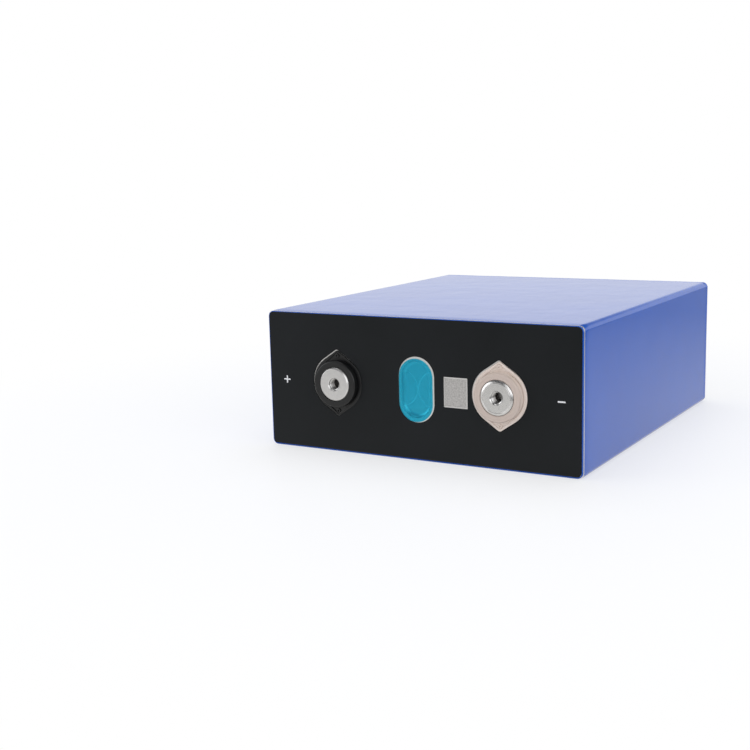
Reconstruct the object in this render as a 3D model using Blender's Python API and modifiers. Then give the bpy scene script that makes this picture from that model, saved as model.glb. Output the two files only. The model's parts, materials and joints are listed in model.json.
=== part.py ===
"""A prismatic lithium iron phosphate battery cell, lying on a broad side with its terminals towards -Y.

Every piece is drawn with the cell standing up: width along x, thickness along y, base at z = 0 and the
terminals at the top. The empty cell_axes then lays the whole cell down, so that its width stays along X,
its height runs along -Y and its thickness along Z. All sizes are in metres.
"""

import math

import bmesh
import bpy

# ---- Overall sizes, over the shrink sleeve and the terminal faces ----
CELL_WIDTH = 0.1737
CELL_THICKNESS = 0.0715
CELL_HEIGHT = 0.2072

# ---- Gaps between neighbours ----
GLUE_GAP = 0.00005  # a film or sheet on the face it is glued to
WELD_GAP = 0.00005  # two welded metal pieces
SEAT_GAP = 0.0001  # a piece resting on or clamped to the next
FIT_GAP = 0.00015  # a piece that slips into or over another, each side

# ---- Shrink sleeve and base sheet ----
SLEEVE_WALL = 0.0002
SLEEVE_EDGE_RADIUS = 0.0030  # the four long edges
SLEEVE_BASE_RADIUS = 0.0024  # round the base
SLEEVE_MOUTH_RADIUS = 0.0004  # where it folds over the can's rim
SLEEVE_BASE_LIP = 0.0050  # how far it laps over the base
BASE_SHEET_THICKNESS = 0.00025

# ---- Can ----
CAN_WALL = 0.0008
CAN_FLOOR = 0.0015

# ---- Lid plate and the black sheet on it ----
LID_THICKNESS = 0.0030
LID_HOLE_RADIUS = 0.0075  # for a terminal
LID_POCKET_DEPTH = 0.0005  # keeps an upper insulator from turning
LID_SHEET_THICKNESS = 0.0003
LID_SHEET_INSET = 0.0008  # from the sleeve's outside
LID_SHEET_CORNER = 0.0022
LID_SHEET_SHIFT = (-0.0003, 0.00025)  # it is stuck on slightly off centre
CODE_WINDOW = (0.0129, 0.0150)  # bare patch of lid beside the vent
CODE_SHIFT = 0.00125  # of the window, towards the negative terminal
SCREEN_MARK_SPAN = 0.0041  # polarity marks
SCREEN_MARK_STROKE = 0.0010
SCREEN_MARK_THICKNESS = 0.0001
SCREEN_MARK_PLACE = 0.63  # of the way from a terminal's side to the sheet's edge

# ---- Terminals ----
TERMINAL_PITCH = 0.0900
TERMINAL_RISE = 0.0040  # terminal face above the black sheet
DISC_RADIUS = 0.0087
DISC_THICKNESS = 0.0026
DISC_CHAMFER = 0.0004
DISC_PROUD = 0.0005  # above the insulator's hub
NECK_RADIUS = 0.0055
BOLT_RADIUS = 0.0030  # M6 thread, at its nominal diameter
BOLT_DEPTH = 0.0055
BOLT_COUNTERSINK = 0.0005
BOLT_FLOOR = 0.0007  # metal left under the tapped hole

# ---- Upper insulators: a pointed flange with a round hub ----
EYE_SIDE_RADIUS = 0.0141
EYE_TIP_REACH = 0.0167
EYE_TIP_RADIUS = 0.0015
EYE_WINDOW_GAP = 0.0005  # bare lid showing between flange and black sheet
EYE_WINDOW_SHIFT = (-0.00025, 0.0002)  # the windows moved with the sheet, so the gap is wider on one side
FLANGE_RISE = 0.00025  # rim above the black sheet
RIM_WIDTH = 0.0010
CHANNEL_DEPTH = 0.0005
HUB_RADIUS = 0.0122
HUB_DRAFT = 0.0003
HUB_CHAMFER = 0.0005
COLLAR_REACH = 0.0012  # into the lid's hole
BOSS_RADIUS = 0.0011  # ring boss near each tip
BOSS_BORE_RADIUS = 0.0005
BOSS_INSET = 0.0025  # from the tip

# ---- Under the lid ----
SEAL_THICKNESS = 0.0010
SEAL_FLANGE_RADIUS = 0.0092
RIVET_FLANGE_RADIUS = 0.0110
RIVET_FLANGE_THICKNESS = 0.0015
SPIGOT_RADIUS = 0.0040
COLLECTOR_THICKNESS = 0.0020
COLLECTOR_WIDTH = 0.0460
COLLECTOR_CORNER = 0.0030
TRAY_DEPTH = 0.0136
TRAY_WALL = 0.0012
GUARD_WIDTH = 0.0240
GUARD_THICKNESS = 0.0015
GUARD_SLOT = (0.0016, 0.0180)
GUARD_SLOT_PITCH = 0.0036
GUARD_SLOT_COUNT = 5

# ---- Vent and filling hole ----
VENT_WIDTH = 0.0162
VENT_LENGTH = 0.0292
VENT_DEPTH = 0.0020  # of the disc's face below the lid's
VENT_LEDGE = 0.0014
VENT_DISC_THICKNESS = 0.0004
SCORE_RADIUS = 0.0090
SCORE_WIDTH = 0.0005
SCORE_DEPTH = 0.0002
SCORE_GAP = 0.0003  # between the two arcs, each side of the centre
VENT_FILM_THICKNESS = 0.0001
VENT_FILM_LAP = 0.00115  # onto the lid, round the vent
VENT_WINDOW_GAP = 0.00065  # black sheet to film, each side
VENT_WINDOW_SHIFT = 0.0003  # of the sheet's window, towards the negative terminal
VENT_FILM_SHIFT = (-0.00012, -0.00042)  # it is stuck on slightly off centre
FILL_PLACE = -0.0225
FILL_HOLE_RADIUS = 0.0016
FILL_CAP_RADIUS = 0.0036
FILL_CAP_THICKNESS = 0.0004
FILL_PLUG_LENGTH = 0.0022

# ---- Inside the can ----
SUPPORT_THICKNESS = 0.0010
SUPPORT_HOLE_RADIUS = 0.0030
SUPPORT_HOLE_PITCH = 0.0240
BAG_WALL = 0.0002
BAG_MOUTH_GAP = 0.0020  # below the lid plate
BAND_WALL = 0.00015
BAND_WIDTH = 0.0250
BAND_INSET = 0.0250  # from each end of the cores
SEPARATOR_WALL = 0.00025
SEPARATOR_OVERHANG = 0.0010  # past the winding at each end
MANDREL_SLOT = 0.0010
WINDING_GROOVE = 0.0005
WINDING_GROOVE_PITCH = 0.0055
TAB_WIDTH = 0.0380
TAB_THICKNESS = 0.0012
TAB_BEND_RADIUS = 0.0035
TAB_START = 0.0030  # from the cell's middle plane
TAB_SINK = 0.0040  # into the winding
COVER_THICKNESS = 0.0002
COVER_LAP = 0.0030  # past the tabs, each side

# ---- Fineness of curves ----
ROUND_STEPS = 40
SMALL_ROUND = 0.0040  # circles smaller than this get fewer steps
SMALL_ROUND_STEPS = 16
ARC_STEP = math.radians(11.25)
CORNER_SEGMENTS = 4
SMOOTH_ANGLE = math.radians(32)  # faces that meet at less than this are shaded as one
CUT = 0.0010  # how far a cutter runs past the face it cuts

# ---- Levels above the base, worked out from the sizes above ----
WRAP = SLEEVE_WALL + GLUE_GAP
SHEET_TOP = CELL_HEIGHT - TERMINAL_RISE
LID_TOP = SHEET_TOP - LID_SHEET_THICKNESS - GLUE_GAP
LID_BOTTOM = LID_TOP - LID_THICKNESS
CAN_BASE = WRAP + BASE_SHEET_THICKNESS + GLUE_GAP
CAN_RIM = LID_TOP - WRAP
INSIDE_FLOOR = CAN_BASE + CAN_FLOOR
SUPPORT_BOTTOM = INSIDE_FLOOR + SEAT_GAP
BAG_BOTTOM = SUPPORT_BOTTOM + SUPPORT_THICKNESS + SEAT_GAP
CORE_BOTTOM = BAG_BOTTOM + BAG_WALL + SEAT_GAP
TRAY_TOP = LID_BOTTOM - SEAT_GAP
TRAY_BOTTOM = TRAY_TOP - TRAY_DEPTH
CORE_TOP = TRAY_BOTTOM - SEAT_GAP
RIVET_TOP = TRAY_TOP - SEAL_THICKNESS - SEAT_GAP
RIVET_BOTTOM = RIVET_TOP - RIVET_FLANGE_THICKNESS
COLLECTOR_TOP = RIVET_BOTTOM - SEAT_GAP
COLLECTOR_BOTTOM = COLLECTOR_TOP - COLLECTOR_THICKNESS
TAB_TOP = COLLECTOR_BOTTOM - SEAT_GAP
DISC_BOTTOM = CELL_HEIGHT - DISC_THICKNESS
BOLT_BOTTOM = CELL_HEIGHT - BOLT_DEPTH
NECK_BOTTOM = BOLT_BOTTOM - BOLT_FLOOR
FLANGE_TOP = SHEET_TOP + FLANGE_RISE

# ---- Widths (x) and depths (y), worked out from the outside in ----
CAN_WIDTH = CELL_WIDTH - 2 * WRAP
CAN_DEPTH = CELL_THICKNESS - 2 * WRAP
CAN_RADIUS = SLEEVE_EDGE_RADIUS - WRAP
INSIDE_WIDTH = CAN_WIDTH - 2 * CAN_WALL
INSIDE_DEPTH = CAN_DEPTH - 2 * CAN_WALL
INSIDE_RADIUS = CAN_RADIUS - CAN_WALL
LID_WIDTH = INSIDE_WIDTH - 2 * WELD_GAP
LID_DEPTH = INSIDE_DEPTH - 2 * WELD_GAP
LID_RADIUS = INSIDE_RADIUS - WELD_GAP
SHEET_WIDTH = CELL_WIDTH - 2 * LID_SHEET_INSET
SHEET_DEPTH = CELL_THICKNESS - 2 * LID_SHEET_INSET
BAG_WIDTH = INSIDE_WIDTH - 2 * FIT_GAP
BAG_DEPTH = INSIDE_DEPTH - 2 * FIT_GAP
BAG_RADIUS = INSIDE_RADIUS - FIT_GAP
BAG_INSIDE_WIDTH = BAG_WIDTH - 2 * BAG_WALL
BAG_INSIDE_DEPTH = BAG_DEPTH - 2 * BAG_WALL
TRAY_OUTER_X = BAG_INSIDE_WIDTH / 2 - FIT_GAP
TRAY_OUTER_Y = BAG_INSIDE_DEPTH / 2 - FIT_GAP
TRAY_INNER_X = GUARD_WIDTH / 2 + FIT_GAP
COLLECTOR_DEPTH = 2 * (TRAY_OUTER_Y - TRAY_WALL - FIT_GAP)
PAIR_WIDTH = BAG_INSIDE_WIDTH - 2 * (FIT_GAP + BAND_WALL + SEAT_GAP)
PAIR_DEPTH = BAG_INSIDE_DEPTH - 2 * (FIT_GAP + BAND_WALL + SEAT_GAP)
CORE_THICKNESS = (PAIR_DEPTH - SEAT_GAP) / 2
CORE_MIDDLE = (CORE_THICKNESS + SEAT_GAP) / 2
TERMINAL_X = TERMINAL_PITCH / 2
EYE_REACH_X = TERMINAL_X + EYE_SIDE_RADIUS


# ---- Outlines: lists of (x, y) points, anticlockwise ----


def outline_round(circles):
    """The outline of a belt pulled tight round circles (x, y, radius), given in anticlockwise order."""
    normals = []
    for (ax, ay, ar), (bx, by, br) in zip(circles, circles[1:] + circles[:1]):
        span = math.hypot(bx - ax, by - ay)
        heading = math.atan2(by - ay, bx - ax)
        normals.append(heading - math.acos((ar - br) / span))
    points = []
    for index, (x, y, radius) in enumerate(circles):
        start, end = normals[index - 1], normals[index]
        while end < start - 1e-9:
            end += 2 * math.pi
        steps = max(1, math.ceil((end - start) / ARC_STEP - 1e-6))
        for step in range(steps + 1):
            angle = start + (end - start) * step / steps
            points.append((x + radius * math.cos(angle), y + radius * math.sin(angle)))
    return points


def round_steps(radius):
    """How many sides a circle gets: fewer when it is small."""
    return SMALL_ROUND_STEPS if radius < SMALL_ROUND else ROUND_STEPS


def circle_outline(x, y, radius):
    """A full circle."""
    steps = round_steps(radius)
    turn = 2 * math.pi / steps
    return [(x + radius * math.cos(i * turn), y + radius * math.sin(i * turn)) for i in range(steps)]


def rectangle_outline(x, y, width, depth, corner):
    """A rectangle about (x, y) with round corners."""
    dx, dy = width / 2 - corner, depth / 2 - corner
    centres = ((x - dx, y - dy), (x + dx, y - dy), (x + dx, y + dy), (x - dx, y + dy))
    return outline_round([(cx, cy, corner) for cx, cy in centres])


def stadium_outline(x, y, width, length):
    """A slot about (x, y), width across x and length along y, with half-round ends."""
    radius = width / 2
    reach = length / 2 - radius
    return outline_round([(x, y - reach, radius), (x, y + reach, radius)])


def racetrack_outline(y, width, depth):
    """A flat-wound core's section about (0, y): width along x, with half-round ends."""
    radius = depth / 2
    reach = width / 2 - radius
    return outline_round([(reach, y, radius), (-reach, y, radius)])


def eye_outline(x, grow=0.0, y=0.0):
    """An upper insulator's pointed flange about (x, y), grown all round by a clearance."""
    tip_y = EYE_TIP_REACH - EYE_TIP_RADIUS
    side, tip = EYE_SIDE_RADIUS + grow, EYE_TIP_RADIUS + grow
    return outline_round([(x, y, side), (x, y + tip_y, tip), (x, y, side), (x, y - tip_y, tip)])


# ---- Scene and materials ----


def clear_scene():
    """Remove whatever the scene holds."""
    for obj in list(bpy.data.objects):
        bpy.data.objects.remove(obj, do_unlink=True)


def add_collection(name):
    """A collection in the scene."""
    collection = bpy.data.collections.new(name)
    bpy.context.scene.collection.children.link(collection)
    return collection


def add_material(name, colour, roughness, metallic=0.0):
    """A Principled material."""
    material = bpy.data.materials.new(name)
    material.use_nodes = True
    shader = material.node_tree.nodes["Principled BSDF"]
    shader.inputs["Base Color"].default_value = (*colour, 1.0)
    shader.inputs["Roughness"].default_value = roughness
    shader.inputs["Metallic"].default_value = metallic
    material.diffuse_color = (*colour, 1.0)
    return material


clear_scene()
CELL = add_collection("prismatic_cell")
CUTTERS = add_collection("cutters")

AXES = bpy.data.objects.new("cell_axes", None)
AXES.rotation_euler = (math.pi / 2, 0.0, 0.0)
AXES.location = (0.0, CELL_HEIGHT / 2, CELL_THICKNESS / 2)
CELL.objects.link(AXES)

BLUE_FILM = add_material("blue_film", (0.010, 0.075, 0.42), 0.18)
BLACK_SHEET = add_material("black_sheet", (0.016, 0.018, 0.020), 0.45)
BLACK_PLASTIC = add_material("black_plastic", (0.020, 0.021, 0.022), 0.35)
TAN_PLASTIC = add_material("tan_plastic", (0.62, 0.49, 0.40), 0.45)
WHITE_INK = add_material("white_ink", (0.85, 0.85, 0.85), 0.6)
ALUMINIUM = add_material("aluminium", (0.78, 0.78, 0.79), 0.35, 1.0)
COPPER = add_material("copper", (0.72, 0.40, 0.26), 0.35, 1.0)
VENT_BLUE = add_material("vent_film_blue", (0.02, 0.33, 0.55), 0.15)
SEAL_RUBBER = add_material("seal_rubber", (0.03, 0.03, 0.03), 0.7)
WHITE_PLASTIC = add_material("white_plastic", (0.75, 0.76, 0.75), 0.5)
SEPARATOR_WHITE = add_material("separator_white", (0.80, 0.80, 0.78), 0.7)
ELECTRODE_BLACK = add_material("electrode_black", (0.035, 0.035, 0.04), 0.8)
GREEN_TAPE = add_material("green_tape", (0.03, 0.30, 0.12), 0.4)
CAP_RUBBER = add_material("cap_rubber", (0.45, 0.10, 0.06), 0.6)


# ---- Building blocks ----


def add_part(name, mesh, material, cutter=False):
    """An object on the cell's axes: a piece of the cell, or a cutter that is kept out of the render."""
    obj = bpy.data.objects.new(name, mesh)
    obj.parent = AXES
    if cutter:
        CUTTERS.objects.link(obj)
        obj.hide_render = True
        obj.display_type = "WIRE"
    else:
        CELL.objects.link(obj)
        mesh.materials.append(material)
    return obj


def shade_round(mesh):
    """Shade a mesh's round faces smooth, and its flat ends flat."""
    mesh.shade_smooth()
    mesh.set_sharp_from_angle(angle=SMOOTH_ANGLE)
    for face in mesh.polygons:
        if abs(face.normal.z) > 0.999:
            face.use_smooth = False


def evaluated_mesh(obj, name):
    """A drawn object's mesh as its modifiers or curve make it. The object itself is removed."""
    bpy.context.scene.collection.objects.link(obj)
    bpy.context.view_layer.update()
    mesh = bpy.data.meshes.new_from_object(obj.evaluated_get(bpy.context.evaluated_depsgraph_get()))
    bpy.data.objects.remove(obj)
    mesh.name = name
    return mesh


def block(name, width, depth, low, high, corner, material=None, place=(0, 0), base_edge=0.0, top_edge=0.0):
    """A box between two levels, with its upright edges rounded, and its base and top edges if asked for."""
    bm = bmesh.new()
    bmesh.ops.create_cube(bm, size=1.0)
    bmesh.ops.scale(bm, vec=(width, depth, high - low), verts=bm.verts)
    bmesh.ops.translate(bm, vec=(place[0], place[1], (low + high) / 2), verts=bm.verts)
    middle = (low + high) / 2
    if corner > 0:
        upright = [e for e in bm.edges if (e.verts[0].co.z - middle) * (e.verts[1].co.z - middle) < 0]
        bevel(bm, upright, corner)
    if base_edge > 0:
        bevel(bm, [e for e in bm.edges if max(v.co.z for v in e.verts) < middle], base_edge)
    if top_edge > 0:
        bevel(bm, [e for e in bm.edges if min(v.co.z for v in e.verts) > middle], top_edge)
    mesh = bpy.data.meshes.new(name)
    bm.to_mesh(mesh)
    bm.free()
    shade_round(mesh)
    return add_part(name, mesh, material, cutter=material is None)


def bevel(bm, edges, radius):
    """Round some of a mesh's edges."""
    bmesh.ops.bevel(
        bm,
        geom=edges,
        offset=radius,
        offset_type="OFFSET",
        segments=CORNER_SEGMENTS,
        profile=0.5,
        affect="EDGES",
        clamp_overlap=True,
    )


def plate(name, outlines, low, high, material=None):
    """A flat piece between two levels: the first outline is its edge, and the rest are holes in it."""
    curve = bpy.data.curves.new(name, "CURVE")
    curve.dimensions = "2D"
    curve.fill_mode = "BOTH"
    curve.extrude = (high - low) / 2
    for outline in outlines:
        spline = curve.splines.new("POLY")
        spline.points.add(len(outline) - 1)
        for point, (x, y) in zip(spline.points, outline):
            point.co = (x, y, 0.0, 1.0)
        spline.use_cyclic_u = True
    mesh = evaluated_mesh(bpy.data.objects.new(name, curve), name)
    bpy.data.curves.remove(curve)
    bm = bmesh.new()
    bm.from_mesh(mesh)
    bmesh.ops.remove_doubles(bm, verts=bm.verts, dist=1e-7)
    bmesh.ops.translate(bm, vec=(0.0, 0.0, (low + high) / 2), verts=bm.verts)
    bm.to_mesh(mesh)
    bm.free()
    shade_round(mesh)
    return add_part(name, mesh, material, cutter=material is None)


def turned(name, profile, x, material=None, closed=False):
    """A turned piece about an upright axis at (x, 0). Its profile is (radius, level) pairs that run down its
    outer side; a closed profile goes back up its bore."""
    bm = bmesh.new()
    points = [bm.verts.new((radius, 0.0, level)) for radius, level in profile]
    for first, second in zip(points, points[1:]):
        bm.edges.new((first, second))
    if closed:
        bm.edges.new((points[-1], points[0]))
    drawn = bpy.data.meshes.new(name)
    bm.to_mesh(drawn)
    bm.free()
    obj = bpy.data.objects.new(name, drawn)
    screw = obj.modifiers.new("turn", "SCREW")
    screw.axis = "Z"
    screw.angle = 2 * math.pi
    screw.steps = round_steps(max(radius for radius, level in profile))
    screw.render_steps = screw.steps
    screw.use_merge_vertices = True
    screw.merge_threshold = 0.00001
    mesh = evaluated_mesh(obj, name)
    bpy.data.meshes.remove(drawn)
    shade_round(mesh)
    part = add_part(name, mesh, material, cutter=material is None)
    part.location.x = x
    return part


def combine(obj, other, operation):
    """Join a cutter to a piece, or cut it away."""
    modifier = obj.modifiers.new(f"{operation.lower()}_{other.name}", "BOOLEAN")
    modifier.operation = operation
    modifier.object = other
    modifier.solver = "EXACT"


def cut(obj, *cutters):
    """Cut cutters out of a piece."""
    for cutter in cutters:
        combine(obj, cutter, "DIFFERENCE")


def join(obj, *others):
    """Join helper shapes to a piece."""
    for other in others:
        combine(obj, other, "UNION")


# ---- Outside: sleeve, base sheet, can ----


def make_sleeve():
    """The blue shrink sleeve: four walls, a narrow lip over the can's rim and a wide one over the base."""
    sleeve = block(
        "shrink_sleeve",
        CELL_WIDTH,
        CELL_THICKNESS,
        0.0,
        LID_TOP,
        SLEEVE_EDGE_RADIUS,
        BLUE_FILM,
        base_edge=SLEEVE_BASE_RADIUS,
        top_edge=SLEEVE_MOUTH_RADIUS,
    )
    hollow = block(
        "sleeve_hollow",
        CELL_WIDTH - 2 * SLEEVE_WALL,
        CELL_THICKNESS - 2 * SLEEVE_WALL,
        SLEEVE_WALL,
        LID_TOP - SLEEVE_WALL,
        SLEEVE_EDGE_RADIUS - SLEEVE_WALL,
        base_edge=SLEEVE_BASE_RADIUS - SLEEVE_WALL,
    )
    mouth = block(
        "sleeve_mouth",
        LID_WIDTH + 2 * GLUE_GAP,
        LID_DEPTH + 2 * GLUE_GAP,
        LID_TOP - SLEEVE_WALL - CUT,
        LID_TOP + CUT,
        LID_RADIUS + GLUE_GAP,
    )
    base_window = block(
        "sleeve_base_window",
        CELL_WIDTH - 2 * SLEEVE_BASE_LIP,
        CELL_THICKNESS - 2 * SLEEVE_BASE_LIP,
        -CUT,
        SLEEVE_WALL + CUT,
        SLEEVE_EDGE_RADIUS,
    )
    cut(sleeve, hollow, mouth, base_window)


def make_base_sheet():
    """The insulating sheet on the can's base, held by the sleeve's lip."""
    flat_width = CAN_WIDTH - 2 * (SLEEVE_BASE_RADIUS - WRAP)
    flat_depth = CAN_DEPTH - 2 * (SLEEVE_BASE_RADIUS - WRAP)
    outline = rectangle_outline(0.0, 0.0, flat_width, flat_depth, CAN_RADIUS)
    plate("base_sheet", [outline], WRAP, WRAP + BASE_SHEET_THICKNESS, BLACK_SHEET)


def make_can():
    """The deep-drawn aluminium can."""
    can = block(
        "can",
        CAN_WIDTH,
        CAN_DEPTH,
        CAN_BASE,
        CAN_RIM,
        CAN_RADIUS,
        ALUMINIUM,
        base_edge=SLEEVE_BASE_RADIUS - WRAP,
    )
    cut(can, block("can_hollow", INSIDE_WIDTH, INSIDE_DEPTH, INSIDE_FLOOR, CAN_RIM + CUT, INSIDE_RADIUS))


# ---- Lid plate and what lies on it ----


def vent_window_size():
    """Width and length of the black sheet's window over the vent."""
    lap = 2 * (VENT_FILM_LAP + VENT_WINDOW_GAP)
    return VENT_WIDTH + lap, VENT_LENGTH + lap


def code_window_x():
    """The middle of the code window, between the vent's window and the negative insulator."""
    vent_side = vent_window_size()[0] / 2
    eye_side = TERMINAL_X - EYE_SIDE_RADIUS
    return (vent_side + eye_side) / 2 + CODE_SHIFT


def make_lid_plate():
    """The lid plate, with terminal holes in shallow pockets, the vent opening and the filling hole."""
    lid = block("lid_plate", LID_WIDTH, LID_DEPTH, LID_BOTTOM, LID_TOP, LID_RADIUS, ALUMINIUM)
    pocket_floor = LID_TOP - LID_POCKET_DEPTH
    for side, x in (("positive", -TERMINAL_X), ("negative", TERMINAL_X)):
        pocket = plate(f"lid_pocket_{side}", [eye_outline(x, FIT_GAP)], pocket_floor, LID_TOP + CUT)
        hole = plate(f"lid_hole_{side}", [circle_outline(x, 0, LID_HOLE_RADIUS)], LID_BOTTOM - CUT, LID_TOP)
        cut(lid, pocket, hole)
    disc_bottom = LID_TOP - VENT_DEPTH - VENT_DISC_THICKNESS - WELD_GAP
    seat = stadium_outline(0, 0, VENT_WIDTH, VENT_LENGTH)
    throat = stadium_outline(0, 0, VENT_WIDTH - 2 * VENT_LEDGE, VENT_LENGTH - 2 * VENT_LEDGE)
    cut(lid, plate("lid_vent_seat", [seat], disc_bottom, LID_TOP + CUT))
    cut(lid, plate("lid_vent_throat", [throat], LID_BOTTOM - CUT, LID_TOP))
    cap_seat = circle_outline(FILL_PLACE, 0, FILL_CAP_RADIUS + WELD_GAP)
    cut(lid, plate("lid_cap_seat", [cap_seat], LID_TOP - FILL_CAP_THICKNESS - WELD_GAP, LID_TOP + CUT))
    fill_hole = circle_outline(FILL_PLACE, 0, FILL_HOLE_RADIUS)
    cut(lid, plate("lid_fill_hole", [fill_hole], LID_BOTTOM - CUT, LID_TOP))


def make_lid_sheet():
    """The black insulating sheet, with windows for the terminals, the vent and the bare code patch."""
    shift_x, shift_y = LID_SHEET_SHIFT
    edge = rectangle_outline(shift_x, shift_y, SHEET_WIDTH, SHEET_DEPTH, LID_SHEET_CORNER)
    low, high = LID_TOP + GLUE_GAP, SHEET_TOP
    sheet = plate("lid_sheet", [edge], low, high, BLACK_SHEET)
    eye_x, eye_y = EYE_WINDOW_SHIFT
    windows = {
        "positive": eye_outline(eye_x - TERMINAL_X, EYE_WINDOW_GAP, eye_y),
        "negative": eye_outline(eye_x + TERMINAL_X, EYE_WINDOW_GAP, eye_y),
        "vent": stadium_outline(VENT_WINDOW_SHIFT, 0, *vent_window_size()),
        "code": rectangle_outline(code_window_x(), 0, *CODE_WINDOW, LID_SHEET_THICKNESS),
    }
    for name, outline in windows.items():
        cut(sheet, plate(f"sheet_window_{name}", [outline], low - CUT, high + CUT))


def make_polarity_marks():
    """The printed plus and minus, beside the terminals they belong to."""
    low = SHEET_TOP + GLUE_GAP
    high = low + SCREEN_MARK_THICKNESS
    reach = EYE_REACH_X + SCREEN_MARK_PLACE * (SHEET_WIDTH / 2 - EYE_REACH_X)
    span, stroke = SCREEN_MARK_SPAN, SCREEN_MARK_STROKE
    plus = block("plus_mark", span, stroke, low, high, 0.0, WHITE_INK, place=(-reach, 0.0))
    upright = block("plus_upright", stroke, span, low, high, 0.0, place=(-reach, 0.0))
    join(plus, upright)
    block("minus_mark", span, stroke, low, high, 0.0, WHITE_INK, place=(reach, 0.0))


def make_upper_insulator(side, x, material):
    """A moulded insulator: pointed flange with a rim, ring bosses near its tips, a hub and a collar."""
    base = LID_TOP - LID_POCKET_DEPTH + SEAT_GAP
    insulator = plate(f"{side}_upper_insulator", [eye_outline(x)], base, FLANGE_TOP, material)
    boss_y = EYE_TIP_REACH - BOSS_INSET
    bosses = [circle_outline(x, y, BOSS_RADIUS) for y in (-boss_y, boss_y)]
    channel_floor = FLANGE_TOP - CHANNEL_DEPTH
    channel_edge = eye_outline(x, -RIM_WIDTH)
    cut(insulator, plate(f"{side}_channel", [channel_edge] + bosses, channel_floor, FLANGE_TOP + CUT))
    for name, y in (("low", -boss_y), ("high", boss_y)):
        bore = circle_outline(x, y, BOSS_BORE_RADIUS)
        cut(insulator, plate(f"{side}_boss_bore_{name}", [bore], channel_floor, FLANGE_TOP + CUT))
    bore_radius = NECK_RADIUS + FIT_GAP
    collar_radius = LID_HOLE_RADIUS - FIT_GAP
    space = cylinder((bore_radius + collar_radius) / 2, base - CUT, FLANGE_TOP + CUT)
    cut(insulator, turned(f"{side}_hub_space", space, x))

    hub_top = CELL_HEIGHT - DISC_PROUD
    hub_root = (base + channel_floor) / 2
    pocket_radius = DISC_RADIUS + FIT_GAP
    pocket_floor = DISC_BOTTOM - SEAT_GAP
    collar_bottom = LID_TOP - COLLAR_REACH
    profile = [
        (pocket_radius, hub_top),
        (HUB_RADIUS - HUB_CHAMFER, hub_top),
        (HUB_RADIUS, hub_top - HUB_CHAMFER),
        (HUB_RADIUS + HUB_DRAFT, hub_root),
        (collar_radius, hub_root),
        (collar_radius, collar_bottom),
        (bore_radius, collar_bottom),
        (bore_radius, pocket_floor),
        (pocket_radius, pocket_floor),
    ]
    join(insulator, turned(f"{side}_hub", profile, x, closed=True))


def cylinder(radius, low, high):
    """The profile of a plain cylinder."""
    return [(0.0, high), (radius, high), (radius, low), (0.0, low)]


def make_terminal(side, x):
    """The terminal disc: a chamfered face with a blind tapped hole, and a neck down into the lid's hole."""
    profile = [
        (0.0, BOLT_BOTTOM),
        (BOLT_RADIUS, BOLT_BOTTOM),
        (BOLT_RADIUS, CELL_HEIGHT - BOLT_COUNTERSINK),
        (BOLT_RADIUS + BOLT_COUNTERSINK, CELL_HEIGHT),
        (DISC_RADIUS - DISC_CHAMFER, CELL_HEIGHT),
        (DISC_RADIUS, CELL_HEIGHT - DISC_CHAMFER),
        (DISC_RADIUS, DISC_BOTTOM),
        (NECK_RADIUS, DISC_BOTTOM),
        (NECK_RADIUS, NECK_BOTTOM),
        (0.0, NECK_BOTTOM),
    ]
    turned(f"{side}_terminal", profile, x, ALUMINIUM)


def make_rivet(side, x, material):
    """The rivet that carries the current through the lid: shank, clamping flange and spigot."""
    profile = [
        (0.0, NECK_BOTTOM - WELD_GAP),
        (NECK_RADIUS, NECK_BOTTOM - WELD_GAP),
        (NECK_RADIUS, RIVET_TOP),
        (RIVET_FLANGE_RADIUS, RIVET_TOP),
        (RIVET_FLANGE_RADIUS, RIVET_BOTTOM),
        (SPIGOT_RADIUS, RIVET_BOTTOM),
        (SPIGOT_RADIUS, COLLECTOR_BOTTOM),
        (0.0, COLLECTOR_BOTTOM),
    ]
    turned(f"{side}_rivet", profile, x, material)


def make_seal_ring(side, x):
    """The rubber seal: a sleeve in the lid's hole and a flange clamped under the lid."""
    bore = NECK_RADIUS + FIT_GAP
    sleeve_radius = LID_HOLE_RADIUS - FIT_GAP
    sleeve_top = LID_TOP - COLLAR_REACH - SEAT_GAP
    flange_bottom = TRAY_TOP - SEAL_THICKNESS
    profile = [
        (sleeve_radius, sleeve_top),
        (sleeve_radius, TRAY_TOP),
        (SEAL_FLANGE_RADIUS, TRAY_TOP),
        (SEAL_FLANGE_RADIUS, flange_bottom),
        (bore, flange_bottom),
        (bore, sleeve_top),
    ]
    turned(f"{side}_seal_ring", profile, x, SEAL_RUBBER, closed=True)


# ---- Vent and filling hole ----


def make_vent():
    """The rupture disc, scored with two arcs that all but meet, and the blue film over it."""
    top = LID_TOP - VENT_DEPTH
    edge = stadium_outline(0, 0, VENT_WIDTH - 2 * WELD_GAP, VENT_LENGTH - 2 * WELD_GAP)
    disc = plate("vent_disc", [edge], top - VENT_DISC_THICKNESS, top, ALUMINIUM)
    for name, way in (("left", -1), ("right", 1)):
        x = way * (SCORE_RADIUS + SCORE_GAP)
        inner, outer = SCORE_RADIUS - SCORE_WIDTH / 2, SCORE_RADIUS + SCORE_WIDTH / 2
        low, high = top - SCORE_DEPTH, top + CUT
        profile = [(outer, high), (outer, low), (inner, low), (inner, high)]
        cut(disc, turned(f"vent_score_{name}", profile, x, closed=True))
    lap = 2 * VENT_FILM_LAP
    film = stadium_outline(*VENT_FILM_SHIFT, VENT_WIDTH + lap, VENT_LENGTH + lap)
    low = LID_TOP + GLUE_GAP
    plate("vent_film", [film], low, low + VENT_FILM_THICKNESS, VENT_BLUE)


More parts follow.
